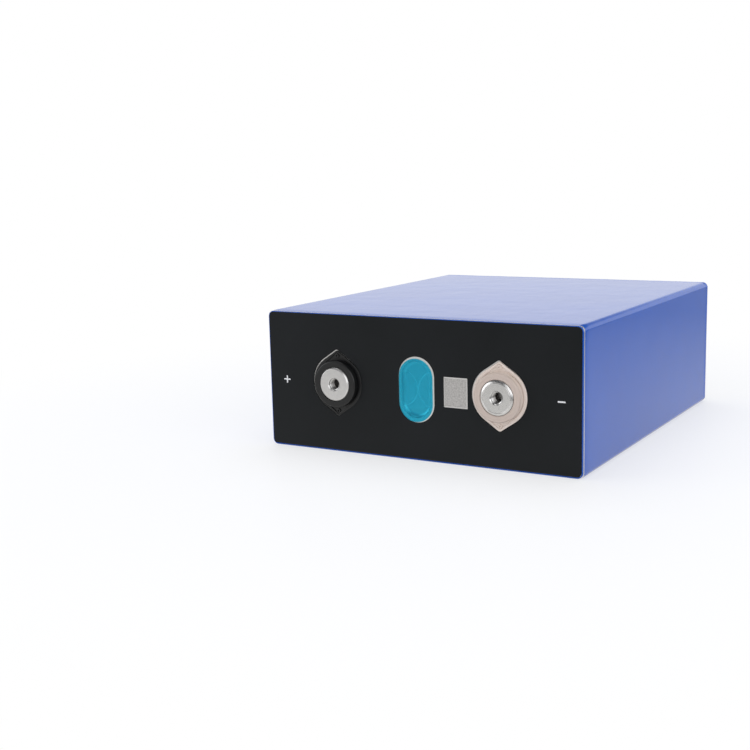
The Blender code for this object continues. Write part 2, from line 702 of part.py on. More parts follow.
def make_fill_plug():
    """The rubber plug in the filling hole and the aluminium cap welded over it, under the black sheet."""
    cap_bottom = LID_TOP - FILL_CAP_THICKNESS
    turned("fill_cap", cylinder(FILL_CAP_RADIUS, cap_bottom, LID_TOP), FILL_PLACE, ALUMINIUM)
    plug_top = cap_bottom - WELD_GAP - SEAT_GAP
    plug = cylinder(FILL_HOLE_RADIUS - SEAT_GAP, plug_top - FILL_PLUG_LENGTH, plug_top)
    turned("fill_plug", plug, FILL_PLACE, CAP_RUBBER)


# ---- Under the lid ----


def make_lower_insulator(side, x, way):
    """The tray under one half of the lid: it insulates the collector and spaces the cores off the lid."""
    width = TRAY_OUTER_X - TRAY_INNER_X
    middle = way * (TRAY_OUTER_X + TRAY_INNER_X) / 2
    depth = 2 * TRAY_OUTER_Y
    name = f"{side}_lower_insulator"
    tray = block(name, width, depth, TRAY_BOTTOM, TRAY_TOP, TRAY_WALL, WHITE_PLASTIC, place=(middle, 0.0))
    inner_width, inner_depth = width - 2 * TRAY_WALL, depth - 2 * TRAY_WALL
    low = TRAY_BOTTOM - CUT
    hollow = block(f"{name}_hollow", inner_width, inner_depth, low, RIVET_BOTTOM, 0.0, place=(middle, 0.0))
    hole = cylinder(SEAL_FLANGE_RADIUS + FIT_GAP, low, TRAY_TOP + CUT)
    pocket = cylinder(RIVET_FLANGE_RADIUS + FIT_GAP, low, RIVET_TOP + SEAT_GAP)
    cut(tray, hollow, turned(f"{name}_hole", hole, x), turned(f"{name}_pocket", pocket, x))


def make_vent_guard():
    """The slotted guard that keeps the cores off the vent."""
    slots = []
    for index in range(GUARD_SLOT_COUNT):
        x = (index - (GUARD_SLOT_COUNT - 1) / 2) * GUARD_SLOT_PITCH
        slots.append(stadium_outline(x, 0, *GUARD_SLOT))
    edge = rectangle_outline(0, 0, GUARD_WIDTH, 2 * TRAY_OUTER_Y, TRAY_WALL)
    plate("vent_guard", [edge] + slots, TRAY_TOP - GUARD_THICKNESS, TRAY_TOP, WHITE_PLASTIC)


def make_collector(side, x, material):
    """The collector plate, welded to the rivet's spigot and to the tabs of both cores."""
    edge = rectangle_outline(x, 0, COLLECTOR_WIDTH, COLLECTOR_DEPTH, COLLECTOR_CORNER)
    hole = circle_outline(x, 0, SPIGOT_RADIUS + FIT_GAP)
    plate(f"{side}_collector", [edge, hole], COLLECTOR_BOTTOM, COLLECTOR_TOP, material)


def bent_tab_outline():
    """The edge of a stack of foil tabs: flat under the collector, then a quarter turn down into the core."""
    bend_y = CORE_MIDDLE - TAB_BEND_RADIUS
    bend_z = TAB_TOP - TAB_THICKNESS / 2 - TAB_BEND_RADIUS
    leg_bottom = CORE_TOP - SEPARATOR_OVERHANG - TAB_SINK
    outer, inner = TAB_BEND_RADIUS + TAB_THICKNESS / 2, TAB_BEND_RADIUS - TAB_THICKNESS / 2
    steps = math.ceil(math.pi / 2 / ARC_STEP)
    angles = [math.pi / 2 * step / steps for step in range(steps + 1)]
    points = [(CORE_MIDDLE - TAB_THICKNESS / 2, leg_bottom), (CORE_MIDDLE + TAB_THICKNESS / 2, leg_bottom)]
    points += [(bend_y + outer * math.cos(a), bend_z + outer * math.sin(a)) for a in angles]
    points += [(TAB_START, TAB_TOP), (TAB_START, TAB_TOP - TAB_THICKNESS)]
    points += [(bend_y + inner * math.cos(a), bend_z + inner * math.sin(a)) for a in reversed(angles)]
    return points


def make_tabs(side, core, x, way, material):
    """One core's stack of foil tabs for one terminal."""
    half = TAB_WIDTH / 2
    tabs = plate(f"{side}_tabs_{core}", [bent_tab_outline()], -half, half, material)
    tabs.rotation_euler = (math.pi / 2, 0.0, way * math.pi / 2)
    tabs.location = (x, 0.0, 0.0)


def make_weld_cover(side, x):
    """The tape over the welds between tabs and collector."""
    high = TAB_TOP - TAB_THICKNESS - SEAT_GAP
    reach = CORE_MIDDLE - TAB_BEND_RADIUS - SEAT_GAP
    edge = rectangle_outline(x, 0, TAB_WIDTH + 2 * COVER_LAP, 2 * reach, COLLECTOR_CORNER)
    plate(f"{side}_weld_cover", [edge], high - COVER_THICKNESS, high, GREEN_TAPE)


# ---- Inside the can ----


def make_bottom_support():
    """The perforated plate on the can's floor."""
    count = int((INSIDE_WIDTH / 2 - SUPPORT_HOLE_PITCH / 2) / SUPPORT_HOLE_PITCH)
    holes = []
    for row in (-1, 1):
        for index in range(-count, count + 1):
            holes.append(circle_outline(index * SUPPORT_HOLE_PITCH, row * CORE_MIDDLE, SUPPORT_HOLE_RADIUS))
    edge = rectangle_outline(0, 0, BAG_WIDTH, BAG_DEPTH, BAG_RADIUS)
    plate("bottom_support", [edge] + holes, SUPPORT_BOTTOM, SUPPORT_BOTTOM + SUPPORT_THICKNESS, WHITE_PLASTIC)


def make_bag():
    """The insulating film bag round both cores, open at the lid."""
    top = LID_BOTTOM - BAG_MOUTH_GAP
    bag = block("inner_bag", BAG_WIDTH, BAG_DEPTH, BAG_BOTTOM, top, BAG_RADIUS, WHITE_PLASTIC)
    floor = BAG_BOTTOM + BAG_WALL
    inner_radius = BAG_RADIUS - BAG_WALL
    cut(bag, block("bag_hollow", BAG_INSIDE_WIDTH, BAG_INSIDE_DEPTH, floor, top + CUT, inner_radius))


def make_core(name, y):
    """One flat-wound core: the winding with its mandrel slot and the separator that wraps it."""
    outer = racetrack_outline(y, PAIR_WIDTH, CORE_THICKNESS)
    skin = 2 * SEPARATOR_WALL
    inner = racetrack_outline(y, PAIR_WIDTH - skin, CORE_THICKNESS - skin)
    plate(f"core_{name}_separator", [outer, inner], CORE_BOTTOM, CORE_TOP, SEPARATOR_WHITE)

    inset = 2 * (SEPARATOR_WALL + FIT_GAP)
    width, depth = PAIR_WIDTH - inset, CORE_THICKNESS - inset
    low, high = CORE_BOTTOM + SEPARATOR_OVERHANG, CORE_TOP - SEPARATOR_OVERHANG
    edge = racetrack_outline(y, width, depth)
    slot = racetrack_outline(y, PAIR_WIDTH - CORE_THICKNESS, MANDREL_SLOT)
    winding = plate(f"core_{name}_winding", [edge, slot], low, high, ELECTRODE_BLACK)
    ring = 1
    while ring * WINDING_GROOVE_PITCH + WINDING_GROOVE < depth / 2 - WINDING_GROOVE:
        trim = 2 * ring * WINDING_GROOVE_PITCH
        edges = [racetrack_outline(y, width - trim - w, depth - trim - w) for w in (0.0, 2 * WINDING_GROOVE)]
        cut(winding, plate(f"core_{name}_groove_{ring}", edges, high - WINDING_GROOVE, high + CUT))
        ring += 1
    for side, x in (("positive", -TERMINAL_X), ("negative", TERMINAL_X)):
        size = (TAB_WIDTH + 2 * FIT_GAP, TAB_THICKNESS + 2 * FIT_GAP)
        low = high - TAB_SINK - FIT_GAP
        cut(winding, block(f"core_{name}_slot_{side}", *size, low, high + CUT, 0.0, place=(x, y)))


def make_core_band(name, low):
    """One band of tape round both cores."""
    corner = CORE_THICKNESS / 2 + SEAT_GAP
    grow = 2 * SEAT_GAP
    inner = rectangle_outline(0, 0, PAIR_WIDTH + grow, PAIR_DEPTH + grow, corner)
    grow += 2 * BAND_WALL
    outer = rectangle_outline(0, 0, PAIR_WIDTH + grow, PAIR_DEPTH + grow, corner + BAND_WALL)
    plate(f"core_band_{name}", [outer, inner], low, low + BAND_WIDTH, GREEN_TAPE)


def make_cell():
    """The whole cell, from the outside in."""
    make_sleeve()
    make_base_sheet()
    make_can()
    make_lid_plate()
    make_lid_sheet()
    make_polarity_marks()
    make_vent()
    make_fill_plug()
    make_vent_guard()
    sides = (
        ("positive", -1, BLACK_PLASTIC, ALUMINIUM),
        ("negative", 1, TAN_PLASTIC, COPPER),
    )
    for side, way, plastic, metal in sides:
        x = way * TERMINAL_X
        make_terminal(side, x)
        make_upper_insulator(side, x, plastic)
        make_rivet(side, x, metal)
        make_seal_ring(side, x)
        make_lower_insulator(side, x, way)
        make_collector(side, x, metal)
        make_tabs(side, "lower", x, -1, metal)
        make_tabs(side, "upper", x, 1, metal)
        make_weld_cover(side, x)
    make_core("lower", -CORE_MIDDLE)
    make_core("upper", CORE_MIDDLE)
    make_core_band("base", CORE_BOTTOM + BAND_INSET)
    make_core_band("lid", CORE_TOP - BAND_INSET - BAND_WIDTH)
    make_bag()
    make_bottom_support()


make_cell()
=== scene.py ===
"""The looks of a prismatic iron phosphate battery cell, lying on a broad side in a white studio.

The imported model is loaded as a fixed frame. Each operator below makes one visible piece over it, or gives
the pieces that stay their materials, and the last one makes the studio. Sizes are in metres. The cell's
terminals face -Y, its width runs along X and its thickness along Z.
"""

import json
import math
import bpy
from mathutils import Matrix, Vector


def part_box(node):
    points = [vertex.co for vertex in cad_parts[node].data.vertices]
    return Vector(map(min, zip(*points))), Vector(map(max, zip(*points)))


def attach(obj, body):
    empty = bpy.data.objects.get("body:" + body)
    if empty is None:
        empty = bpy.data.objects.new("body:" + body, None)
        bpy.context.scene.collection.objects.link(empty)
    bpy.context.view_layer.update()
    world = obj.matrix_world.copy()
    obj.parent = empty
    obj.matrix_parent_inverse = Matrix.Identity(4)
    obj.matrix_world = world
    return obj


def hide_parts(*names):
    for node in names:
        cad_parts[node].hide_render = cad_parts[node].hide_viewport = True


bl_info = {
    "name": "Prismatic Battery Cell",
    "version": (1, 0, 0),
    "blender": (4, 5, 0),
    "location": "3D View > Sidebar > Battery Cell",
    "description": "Makes the visible pieces, finishes and studio of a prismatic battery cell",
    "category": "Add Mesh",
}

from contextlib import contextmanager
from functools import partial

import bmesh
import bpy
from bpy.props import FloatProperty, FloatVectorProperty, IntProperty, PointerProperty
from mathutils import Matrix, Vector

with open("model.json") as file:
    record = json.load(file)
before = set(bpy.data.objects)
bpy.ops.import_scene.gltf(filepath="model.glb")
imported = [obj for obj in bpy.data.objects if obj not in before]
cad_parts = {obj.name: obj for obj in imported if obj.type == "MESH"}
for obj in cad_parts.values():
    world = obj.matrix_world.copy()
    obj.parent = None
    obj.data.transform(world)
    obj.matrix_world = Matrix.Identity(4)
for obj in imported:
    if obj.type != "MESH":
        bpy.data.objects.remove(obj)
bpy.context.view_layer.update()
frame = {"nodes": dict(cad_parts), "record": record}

ROUND = 128  # sides of a large circle
SMALL_ROUND = 48
FACE_TURN = math.pi / 2  # turns a piece that was built standing up, so that its top faces -Y
SMOOTH_ANGLE = math.radians(32)
SHARP_ANGLE = math.radians(38)
RIM_ROUNDING = 0.42  # of the film rim's width
THREAD_ROOT = 0.00005  # added to the thread's ridge for the part that is sunk in the wall
THREAD_SINK = 0.00008  # how far the ridge's back is sunk in the hole's wall
THREAD_START = 0.6  # turns from the hole's floor to the thread
THREAD_STOP = 0.9  # turns that the thread stops short of the countersink
VENT_RIM_DROP = 0.00003  # from the lid's face to the vent dish's rim
FAR = 1.0  # further than any piece reaches
GRAIN_SLOPE = 20  # a plain material's grains are this many times as wide as they are deep
# The vent film's rings from its edge inwards: the share of the film's lap on the lid that each one is wide,
# and the share of the sag that follows it.
FILM_RINGS = ((0.3, 0.0), (1.05, 0.0), (0.8, 0.7), (1.4, 0.3))
TINY = 0.000002  # for telling the vertices of one level from those of another
WHITE = (1.0, 1.0, 1.0, 1.0)


def linear(code):
    """An sRGB hex colour as linear red, green, blue and alpha."""
    parts = [int(code[i : i + 2], 16) / 255 for i in (0, 2, 4)]
    return tuple(p / 12.92 if p <= 0.04045 else ((p + 0.055) / 1.055) ** 2.4 for p in parts) + (1.0,)


def node_box(name):
    """The lowest and highest corners of a CAD node."""
    low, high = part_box(name)
    return Vector(low), Vector(high)


def middle_of(name):
    """The middle of a CAD node's box."""
    low, high = node_box(name)
    return (low + high) / 2


def size_property(name, description, default, lowest=0.0):
    """A length that a user may change."""
    return FloatProperty(
        name=name, description=description, default=default, min=lowest, unit="LENGTH", precision=5
    )


def studio_property(name, description, default, unit="NONE"):
    """A number that a user may change."""
    return FloatProperty(name=name, description=description, default=default, unit=unit)


def colour_property(name, description, code):
    """A colour that a user may change."""
    return FloatVectorProperty(
        name=name, description=description, default=linear(code), subtype="COLOR", size=4, min=0, max=1
    )


# ---- Sizes, colours and studio settings ----


class CellShape(bpy.types.PropertyGroup):
    """Sizes of the visible pieces that the CAD model doesn't give."""

    film_wall: size_property("Film wall", "Thickness of the blue film", 0.00015)
    film_edge: size_property("Film edge", "Radius of the sleeve's four long edges", 0.0030)
    film_base_edge: size_property("Film base edge", "Radius of the sleeve round the base", 0.0024)
    film_base_lip: size_property("Base lip", "Width of the film's flat lip on the base", 0.0026)
    film_lip_waver: size_property("Lip waver", "How far the lip's shrunk edge strays", 0.0004)
    film_wave: size_property("Film wave", "Depth of the film's slow waves", 0.00006)
    film_wave_length: size_property("Film wave length", "Distance between the film's waves", 0.035)
    film_cuts: IntProperty(
        name="Film cuts", description="Cuts along each side of the sleeve", default=48, min=4
    )
    mouth_depth: size_property("Mouth depth", "How far from the front the film starts to draw in", 0.0030)
    mouth_draw: size_property("Mouth draw", "How far the film draws in at the front", 0.00035)
    rim_height: size_property("Rim height", "How far the film's rim stands up round the lid", 0.00045)
    rim_width: size_property("Rim width", "Width of that rim", 0.00035)
    rim_lip: size_property("Rim lip", "Width of film inside the rim", 0.0006)
    sheet_corner: size_property("Sheet corner", "Corner radius of the black sheet", 0.0022)
    sheet_edge: size_property("Sheet edge", "Softening of the black sheet's cut edges", 0.00006)
    eye_radius: size_property("Flange radius", "Radius of the insulator flange's sides", 0.0141)
    eye_reach: size_property("Flange reach", "From the flange's middle to its tips", 0.0167)
    eye_tip: size_property("Flange tip", "Radius of the flange's tips", 0.0015)
    eye_gap: size_property("Flange gap", "Bare lid beside the flange's round sides", 0.0003)
    eye_tip_gap: size_property("Flange tip gap", "Bare lid beyond the flange's tips", 0.0003)
    eye_shift_x: size_property("Window shift X", "Flanges' windows, along X", -0.00024, lowest=-0.001)
    eye_shift_z: size_property("Window shift Z", "Flanges' windows, along Z", 0.0002, lowest=-0.001)
    flange_rise: size_property("Flange rise", "Flange's rim above the black sheet", 0.00025)
    channel_radius: size_property("Channel radius", "Radius of the channel inside the flange's rim", 0.0124)
    channel_tip: size_property("Channel tip", "Radius of that channel's tips", 0.0005)
    channel_depth: size_property("Channel depth", "Depth of that channel", 0.0005)
    hub_radius: size_property("Hub radius", "Radius of the insulator's hub at its top", 0.0120)
    hub_draft: size_property("Hub draft", "How much wider the hub is at its foot", 0.0001)
    hub_edge: size_property("Hub edge", "Rounding of the hub's top edge", 0.0008)
    pocket_depth: size_property("Pocket depth", "Depth of the hub's pocket, in which the disc sits", 0.0021)
    pocket_gap: size_property("Pocket gap", "Gap round the disc in its pocket", 0.0002)
    collar_radius: size_property("Collar radius", "Radius of the collar in the lid's hole", 0.00735)
    neck_radius: size_property("Neck radius", "Radius of the terminal's neck", 0.0055)
    neck_gap: size_property("Neck gap", "Gap round the neck", 0.00015)
    boss_radius: size_property("Boss radius", "Radius of the ring bosses near the tips", 0.0011)
    boss_bore: size_property("Boss bore", "Radius of a boss's blind hole", 0.0005)
    boss_depth: size_property("Boss depth", "Depth of that hole", 0.0009)
    boss_inset: size_property("Boss inset", "From a tip to its boss's middle", 0.0025)
    mould_edge: size_property("Moulded edge", "Rounding of the mouldings' edges", 0.00022)
    disc_radius: size_property("Disc radius", "Radius of a terminal's disc", 0.0085)
    disc_depth: size_property("Disc depth", "Thickness of a terminal's disc", 0.0026)
    chamfer_depth: size_property("Chamfer depth", "Depth of the chamfer round a terminal's face", 0.0006)
    chamfer_positive: size_property("Positive chamfer", "Width of the positive disc's chamfer", 0.0007)
    chamfer_negative: size_property("Negative chamfer", "Width of the negative disc's chamfer", 0.0011)
    step_width: size_property("Step width", "Width of the step inside the negative disc's chamfer", 0.00022)
    step_depth: size_property("Step depth", "Depth of that step", 0.00012)
    disc_edge: size_property("Disc edge", "Softening of a terminal's turned edges", 0.00007)
    bolt_radius: size_property("Bolt radius", "Radius of the tapped hole", 0.0030)
    bolt_depth: size_property("Bolt depth", "Depth of the tapped hole", 0.0055)
    bolt_countersink: size_property("Countersink", "Countersink at the hole's mouth", 0.0005)
    thread_pitch: size_property("Thread pitch", "Pitch of the hole's thread", 0.0010)
    thread_height: size_property("Thread height", "Height of the hole's thread", 0.0005)
    vent_wall: size_property("Vent wall", "Thickness of the vent dish's wall", 0.0003)
    vent_fillet: size_property("Vent fillet", "Radius at the foot of the vent dish's wall", 0.0019)
    score_radius: size_property("Score radius", "Radius of the vent's scored arcs", 0.0090)
    score_gap: size_property("Score gap", "From the middle to each scored arc", 0.0003)
    score_width: size_property("Score width", "Width of a scored arc", 0.0005)
    score_depth: size_property("Score depth", "Depth of a scored arc", 0.00015)
    film_gap: size_property("Vent film gap", "Bare lid between the vent film and the sheet", 0.00065)
    vent_shift: size_property("Vent window shift", "Of the sheet's window over the vent, along X", 0.0003)
    film_sag: size_property("Vent film sag", "How far the vent film sinks into the recess", 0.00025)
    film_curl: size_property("Vent film curl", "How far the vent film's edge lifts", 0.00008)
    mark_span: size_property("Mark span", "Length of the polarity marks' arms, end to end", 0.0038)
    mark_stroke: size_property("Mark stroke", "Width of their strokes", 0.0007)
    code_width: size_property("Patch width", "Width of the bare patch beside the vent", 0.0129)
    code_height: size_property("Patch height", "Height of that patch", 0.0150)
    code_corner: size_property("Patch corner", "Corner radius of that patch", 0.0003)
    code_shift: size_property("Patch shift", "From midway between vent and flange, along X", 0.00125)
    code_border: size_property("Patch border", "Smooth border round the etched field", 0.0006)


class CellFinish(bpy.types.PropertyGroup):
    """Colours of the cell's materials."""

    film_blue: colour_property("Film blue", "Shrink film on the can", "0A56B9")
    film_deep: colour_property("Film deep blue", "Thicker places in the shrink film", "094CA9")
    sheet_black: colour_property("Sheet black", "Lid sheet and base sheet", "0F1213")
    insulator_black: colour_property("Insulator black", "Positive insulator", "0B0C0D")
    insulator_tan: colour_property("Insulator tan", "Negative insulator", "E3D6CC")
    insulator_shade: colour_property("Insulator shade", "Darker flow marks in the tan plastic", "D5C5B8")
    # The tan hub's face is coloured darker than the flange below it.
    insulator_hub_face: colour_property("Insulator hub face", "Face of the tan plastic's hub, coloured darker than its flange", "BEADA1")
    aluminium: colour_property("Aluminium", "Bare aluminium", "E5E4E2")
    copper: colour_property("Copper", "Bare copper", "D8906C")
    vent_cyan: colour_property("Vent cyan", "Protective film on the vent", "2ACAF6")
    ink_white: colour_property("Ink white", "Printed polarity marks", "EDEDED")
    natural_plastic: colour_property("Natural plastic", "Plastic pieces inside the can", "DCDDDA")
    separator_white: colour_property("Separator white", "Separator round the cores", "E8E7E2")
    electrode_grey: colour_property("Electrode grey", "Coated foils of the cores", "2A2A2D")
    tape_green: colour_property("Tape green", "Tape on the cores and tabs", "2F8F5A")
    seal_black: colour_property("Seal black", "Rubber seal rings", "222222")
    plug_red: colour_property("Plug red", "Rubber plug of the filling hole", "A8503A")
    floor_white: colour_property("Floor white", "Studio floor", "F4F6FA")


class StudioSettings(bpy.types.PropertyGroup):
    """Camera and lamps."""

    camera_turn: studio_property("Camera turn", "Right of straight on", 0.5384474, "ROTATION")
    camera_rise: studio_property("Camera rise", "Above level", 0.1751668, "ROTATION")
    camera_roll: studio_property("Camera roll", "Tilt", -0.024997, "ROTATION")
    camera_place: FloatVectorProperty(
        name="Camera place",
        description="From the front lower left corner of the black sheet's plane",
        default=(0.365225, -0.504482, 0.145498),
        unit="LENGTH",
    )
    camera_lens: studio_property("Lens", "Focal length in millimetres", 57.518)
    top_power: studio_property("Top lamp", "Power of the overhead softbox", 10.2, "POWER")
    left_power: studio_property("Left lamp", "Power of the left softbox", 5.0, "POWER")
    right_power: studio_property("Right lamp", "Power of the right softbox", 16.0, "POWER")
    floor_near: studio_property("Floor near", "How bright the floor mirrors near the cell", 0.85)
    floor_far: studio_property("Floor far", "How bright the floor mirrors far off", 0.47)
    high_glow: studio_property("High glow", "How bright the room mirrors high up", 0.16)
    front_glow: studio_property("Front glow", "How bright the room's front mirrors", 0.55)
    fill: studio_property("Fill", "Even light from all round", 0.52)


# ---- Modelling helpers ----


def activate(obj):
    """Select only one object and make it active."""
    if bpy.context.mode != "OBJECT":
        bpy.ops.object.mode_set(mode="OBJECT")
    bpy.ops.object.select_all(action="DESELECT")
    obj.select_set(True)
    bpy.context.view_layer.objects.active = obj


@contextmanager
def editing(obj):
    """Open an object in edit mode, and close it again."""
    activate(obj)
    bpy.ops.object.mode_set(mode="EDIT")
    yield
    bpy.ops.object.mode_set(mode="OBJECT")


def pick(obj, test, kind="FACE"):
    """In edit mode, select only the faces or edges that pass a test."""
    bpy.ops.mesh.select_mode(type=kind)
    bpy.ops.mesh.select_all(action="DESELECT")
    bm = bmesh.from_edit_mesh(obj.data)
    for item in bm.faces if kind == "FACE" else bm.edges:
        if test(item):
            item.select_set(True)
    bmesh.update_edit_mesh(obj.data)


def edge_vector(edge):
    """From an edge's first end to its second."""
    return edge.verts[1].co - edge.verts[0].co


def top_face(face):
    """True for a face that looks up."""
    return face.normal.z > 0.99


def bottom_face(face):
    """True for a face that looks down."""
    return face.normal.z < -0.99


def sharp_edge(edge):
    """True for an edge between two faces that meet at more than 45 degrees."""
    return len(edge.link_faces) == 2 and edge.link_faces[0].normal.dot(edge.link_faces[1].normal) < 0.7


def sharp_at(edge, height):
    """True for a sharp edge whose two ends are at a height."""
    return sharp_edge(edge) and all(abs(vert.co.z - height) < TINY for vert in edge.verts)


def push(vector):
    """Extrude the selected faces along a vector."""
    bpy.ops.mesh.extrude_region_move(TRANSFORM_OT_translate={"value": vector})


def round_edges(obj, test, offset, segments):
    """In edit mode, round the edges that pass a test."""
    pick(obj, test, "EDGE")
    bpy.ops.mesh.bevel(offset_type="OFFSET", offset=offset, segments=segments, profile=0.5, affect="EDGES")


def named(name):
    """Name the object that was just added, and return it."""
    obj = bpy.context.object
    obj.name = name
    obj.data.name = name
    return obj


def clear_selection():
    """Leave edit mode and deselect everything, before a primitive is added."""
    if bpy.context.mode != "OBJECT":
        bpy.ops.object.mode_set(mode="OBJECT")
    bpy.ops.object.select_all(action="DESELECT")


def apply_place(obj):
    """Put an object's place, turn and scale into its mesh."""
    activate(obj)
    bpy.ops.object.transform_apply(location=True, rotation=True, scale=True)


def add_box(name, low, high):
    """A box between two corners."""
    clear_selection()
    bpy.ops.mesh.primitive_cube_add(size=1.0, location=(low + high) / 2, scale=high - low)
    box = named(name)
    apply_place(box)
    return box


def add_cylinder(name, radius, low, high, x=0.0, y=0.0, sides=ROUND, top_radius=None):
    """An upright cylinder, or a cone if its top has its own radius, between two heights."""
    clear_selection()
    bpy.ops.mesh.primitive_cone_add(
        vertices=sides,
        radius1=radius,
        radius2=radius if top_radius is None else top_radius,
        depth=high - low,
        location=(x, y, (low + high) / 2),
    )
    cylinder = named(name)
    apply_place(cylinder)
    return cylinder


def add_hull(name, circles, low, high):
    """A prism whose outline is a belt round circles (x, y, radius)."""
    x, y, radius = circles[0]
    prism = add_cylinder(name, radius, low, high, x, y)
    with editing(prism):
        for x, y, radius in circles[1:]:
            sides = ROUND if radius > 0.004 else SMALL_ROUND
            bpy.ops.mesh.primitive_cylinder_add(
                vertices=sides, radius=radius, depth=high - low, location=(x, y, (low + high) / 2)
            )
        bpy.ops.mesh.select_all(action="SELECT")
        bpy.ops.mesh.convex_hull()
        bpy.ops.mesh.dissolve_limited(angle_limit=math.radians(1))
    return prism


def add_eye(name, shape, radius, tip, low, high):
    """A prism with an insulator flange's outline, with radii for its round sides and for its tips."""
    tip_y = shape.eye_reach - shape.eye_tip
    return add_hull(name, [(0, 0, radius), (0, tip_y, tip), (0, -tip_y, tip)], low, high)


def add_stadium(name, width, length, low, high):
    """A prism with two straight sides and half-round ends."""
    reach = (length - width) / 2
    return add_hull(name, [(0, reach, width / 2), (0, -reach, width / 2)], low, high)


def modify(obj, kind, **settings):
    """Give a piece a modifier with its settings, and apply it."""
    activate(obj)
    modifier = obj.modifiers.new(kind, kind)
    for name, value in settings.items():
        setattr(modifier, name, value)
    bpy.ops.object.modifier_apply(modifier=modifier.name)


def combine(obj, tool, operation):
    """Join a tool to a piece or cut it away, and remove the tool."""
    modify(obj, "BOOLEAN", operation=operation, solver="EXACT", object=tool)
    bpy.data.objects.remove(tool, do_unlink=True)


def soften(obj, width):
    """Round all of a piece's sharp edges a little."""
    modify(obj, "BEVEL", width=width, segments=2, limit_method="ANGLE", angle_limit=SHARP_ANGLE)


def face_front(obj, node, y, shift_x=0.0, shift_z=0.0):
    """Turn a piece that was built standing up so that its top faces -Y, and put it over a CAD node."""
    centre = middle_of(node)
    obj.rotation_euler = (FACE_TURN, 0, 0)
    obj.location = (centre.x + shift_x, y, centre.z + shift_z)
    apply_place(obj)


def finish_piece(obj, material, slot, *nodes):
    """Shade a piece, give it its material, hang it on the root body and hide the CAD nodes that it stands for.
    """
    activate(obj)
    bpy.ops.object.shade_smooth_by_angle(angle=SMOOTH_ANGLE)
    modify(obj, "WEIGHTED_NORMAL", keep_sharp=True)
    obj.data.materials.clear()
    obj.data.materials.append(material)
    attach(obj, "root")
    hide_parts(*nodes)


# ---- Materials ----

# Real sizes of the surfaces' patterns, from one grain, line or wave to the next.
FILM_CLOUD = 0.06
FILM_RIPPLE = 0.018
FILM_FOLDS = 0.005
FILM_PEEL = 0.0015
FILM_RUBS = 0.0012
SHEET_CLOUD = 0.03
SHEET_DUST = 0.0006
SHEET_GRAIN = 0.00035
FLOW_MARKS = 0.006
HUB_STREAKS = 0.0007
MOULD_GRAIN = 0.0003
METAL_MOTTLE = 0.0012
TOOL_MARKS = 0.0004  # coarser than real ones, so that they show
DINGS = 0.0016
ROLLING_LINES = 0.0003  # coarser than real ones, so that they show
ETCHED_GRAIN = 0.0008
PRESS_MOTTLE = 0.004
VENT_FILM_CLOUD = 0.008
INK_PINHOLES = 0.0003
FULL = 1.0  # strength of a bump, whose height is set by its distance


def add_node(tree, kind, *inputs, output=None, **settings):
    """Add a node and return its first output, or the one named. Its inputs, in the order in which the node
    shows them, are values, outputs that feed them, or None for one that stays as it is."""
    node = tree.nodes.new("ShaderNode" + kind)
    for name, value in settings.items():
        setattr(node, name, value)
    for socket, value in zip([socket for socket in node.inputs if socket.enabled], inputs):
        if isinstance(value, bpy.types.NodeSocket):
            tree.links.new(value, socket)
        elif value is not None:
            socket.default_value = value
    live = (socket for socket in node.outputs if socket.enabled)
    return node.outputs[output] if output else next(live, None)


def feed(node, name, output):
    """Let an output feed a node's named input."""
    node.id_data.links.new(output, node.inputs[name])


def start_material(name, roughness, metallic=0.0, ior=None):
    """A Principled material. Returns it, the function that adds nodes to it, its shader and its object
    coordinates."""
    material = bpy.data.materials.new(name)
    material.use_nodes = True
    add = partial(add_node, material.node_tree)
    shader = material.node_tree.nodes["Principled BSDF"]
    shader.inputs["Roughness"].default_value = roughness
    shader.inputs["Metallic"].default_value = metallic
    if ior is not None:
        shader.inputs["IOR"].default_value = ior
    return material, add, shader, add("TexCoord", output="Object")


def pitch(length):
    """The scale of a noise whose grains are about this long."""
    return 1.0 / length


def ring_pitch(length):
    """The scale of a wave whose rings are this far apart."""
    return pitch(length) / (2 * math.pi)


def shaded(colour, share):
    """A darker copy of a colour."""
    return tuple(part * share for part in colour[:3]) + (1.0,)


def pet_shrink_film(finish):
    """Blue PET shrink film: coloured through, glossy, with slow waves and a few fine rub marks."""
    material, add, shader, place = start_material("pet_shrink_film_blue", 0.12, ior=1.57)
    slow = add("TexNoise", place, pitch(FILM_CLOUD), 2.0)
    feed(shader, "Base Color", add("Mix", slow, finish.film_blue, finish.film_deep, data_type="RGBA"))
    # Rub marks run along the cell, so the pattern is squeezed along Y.
    along = add("Mapping", place, None, None, (1.0, 0.06, 1.0))
    rubs = add("TexNoise", along, pitch(FILM_RUBS), 3.0, 0.6)
    feed(shader, "Roughness", add("MapRange", rubs, 0.0, 1.0, 0.06, 0.17))
    rippled = add("Bump", FULL, 0.00012, None, add("TexNoise", place, pitch(FILM_RIPPLE), 1.0))
    # The fine orange peel of drawn film.
    peeled = add("Bump", FULL, 0.000004, None, add("TexNoise", place, pitch(FILM_PEEL), 1.0), rippled)
    # Shrink wrinkles where the film is drawn in over the base.
    base = node_box("shrink_sleeve")[1].y
    near_base = add("MapRange", add("SeparateXYZ", place, output="Y"), base - 0.006, base - 0.001)
    folds = add("TexNoise", place, pitch(FILM_FOLDS), 1.0)
    wrinkles = add("Math", folds, near_base, operation="MULTIPLY")
    feed(shader, "Normal", add("Bump", FULL, 0.0006, None, wrinkles, peeled))
    return material


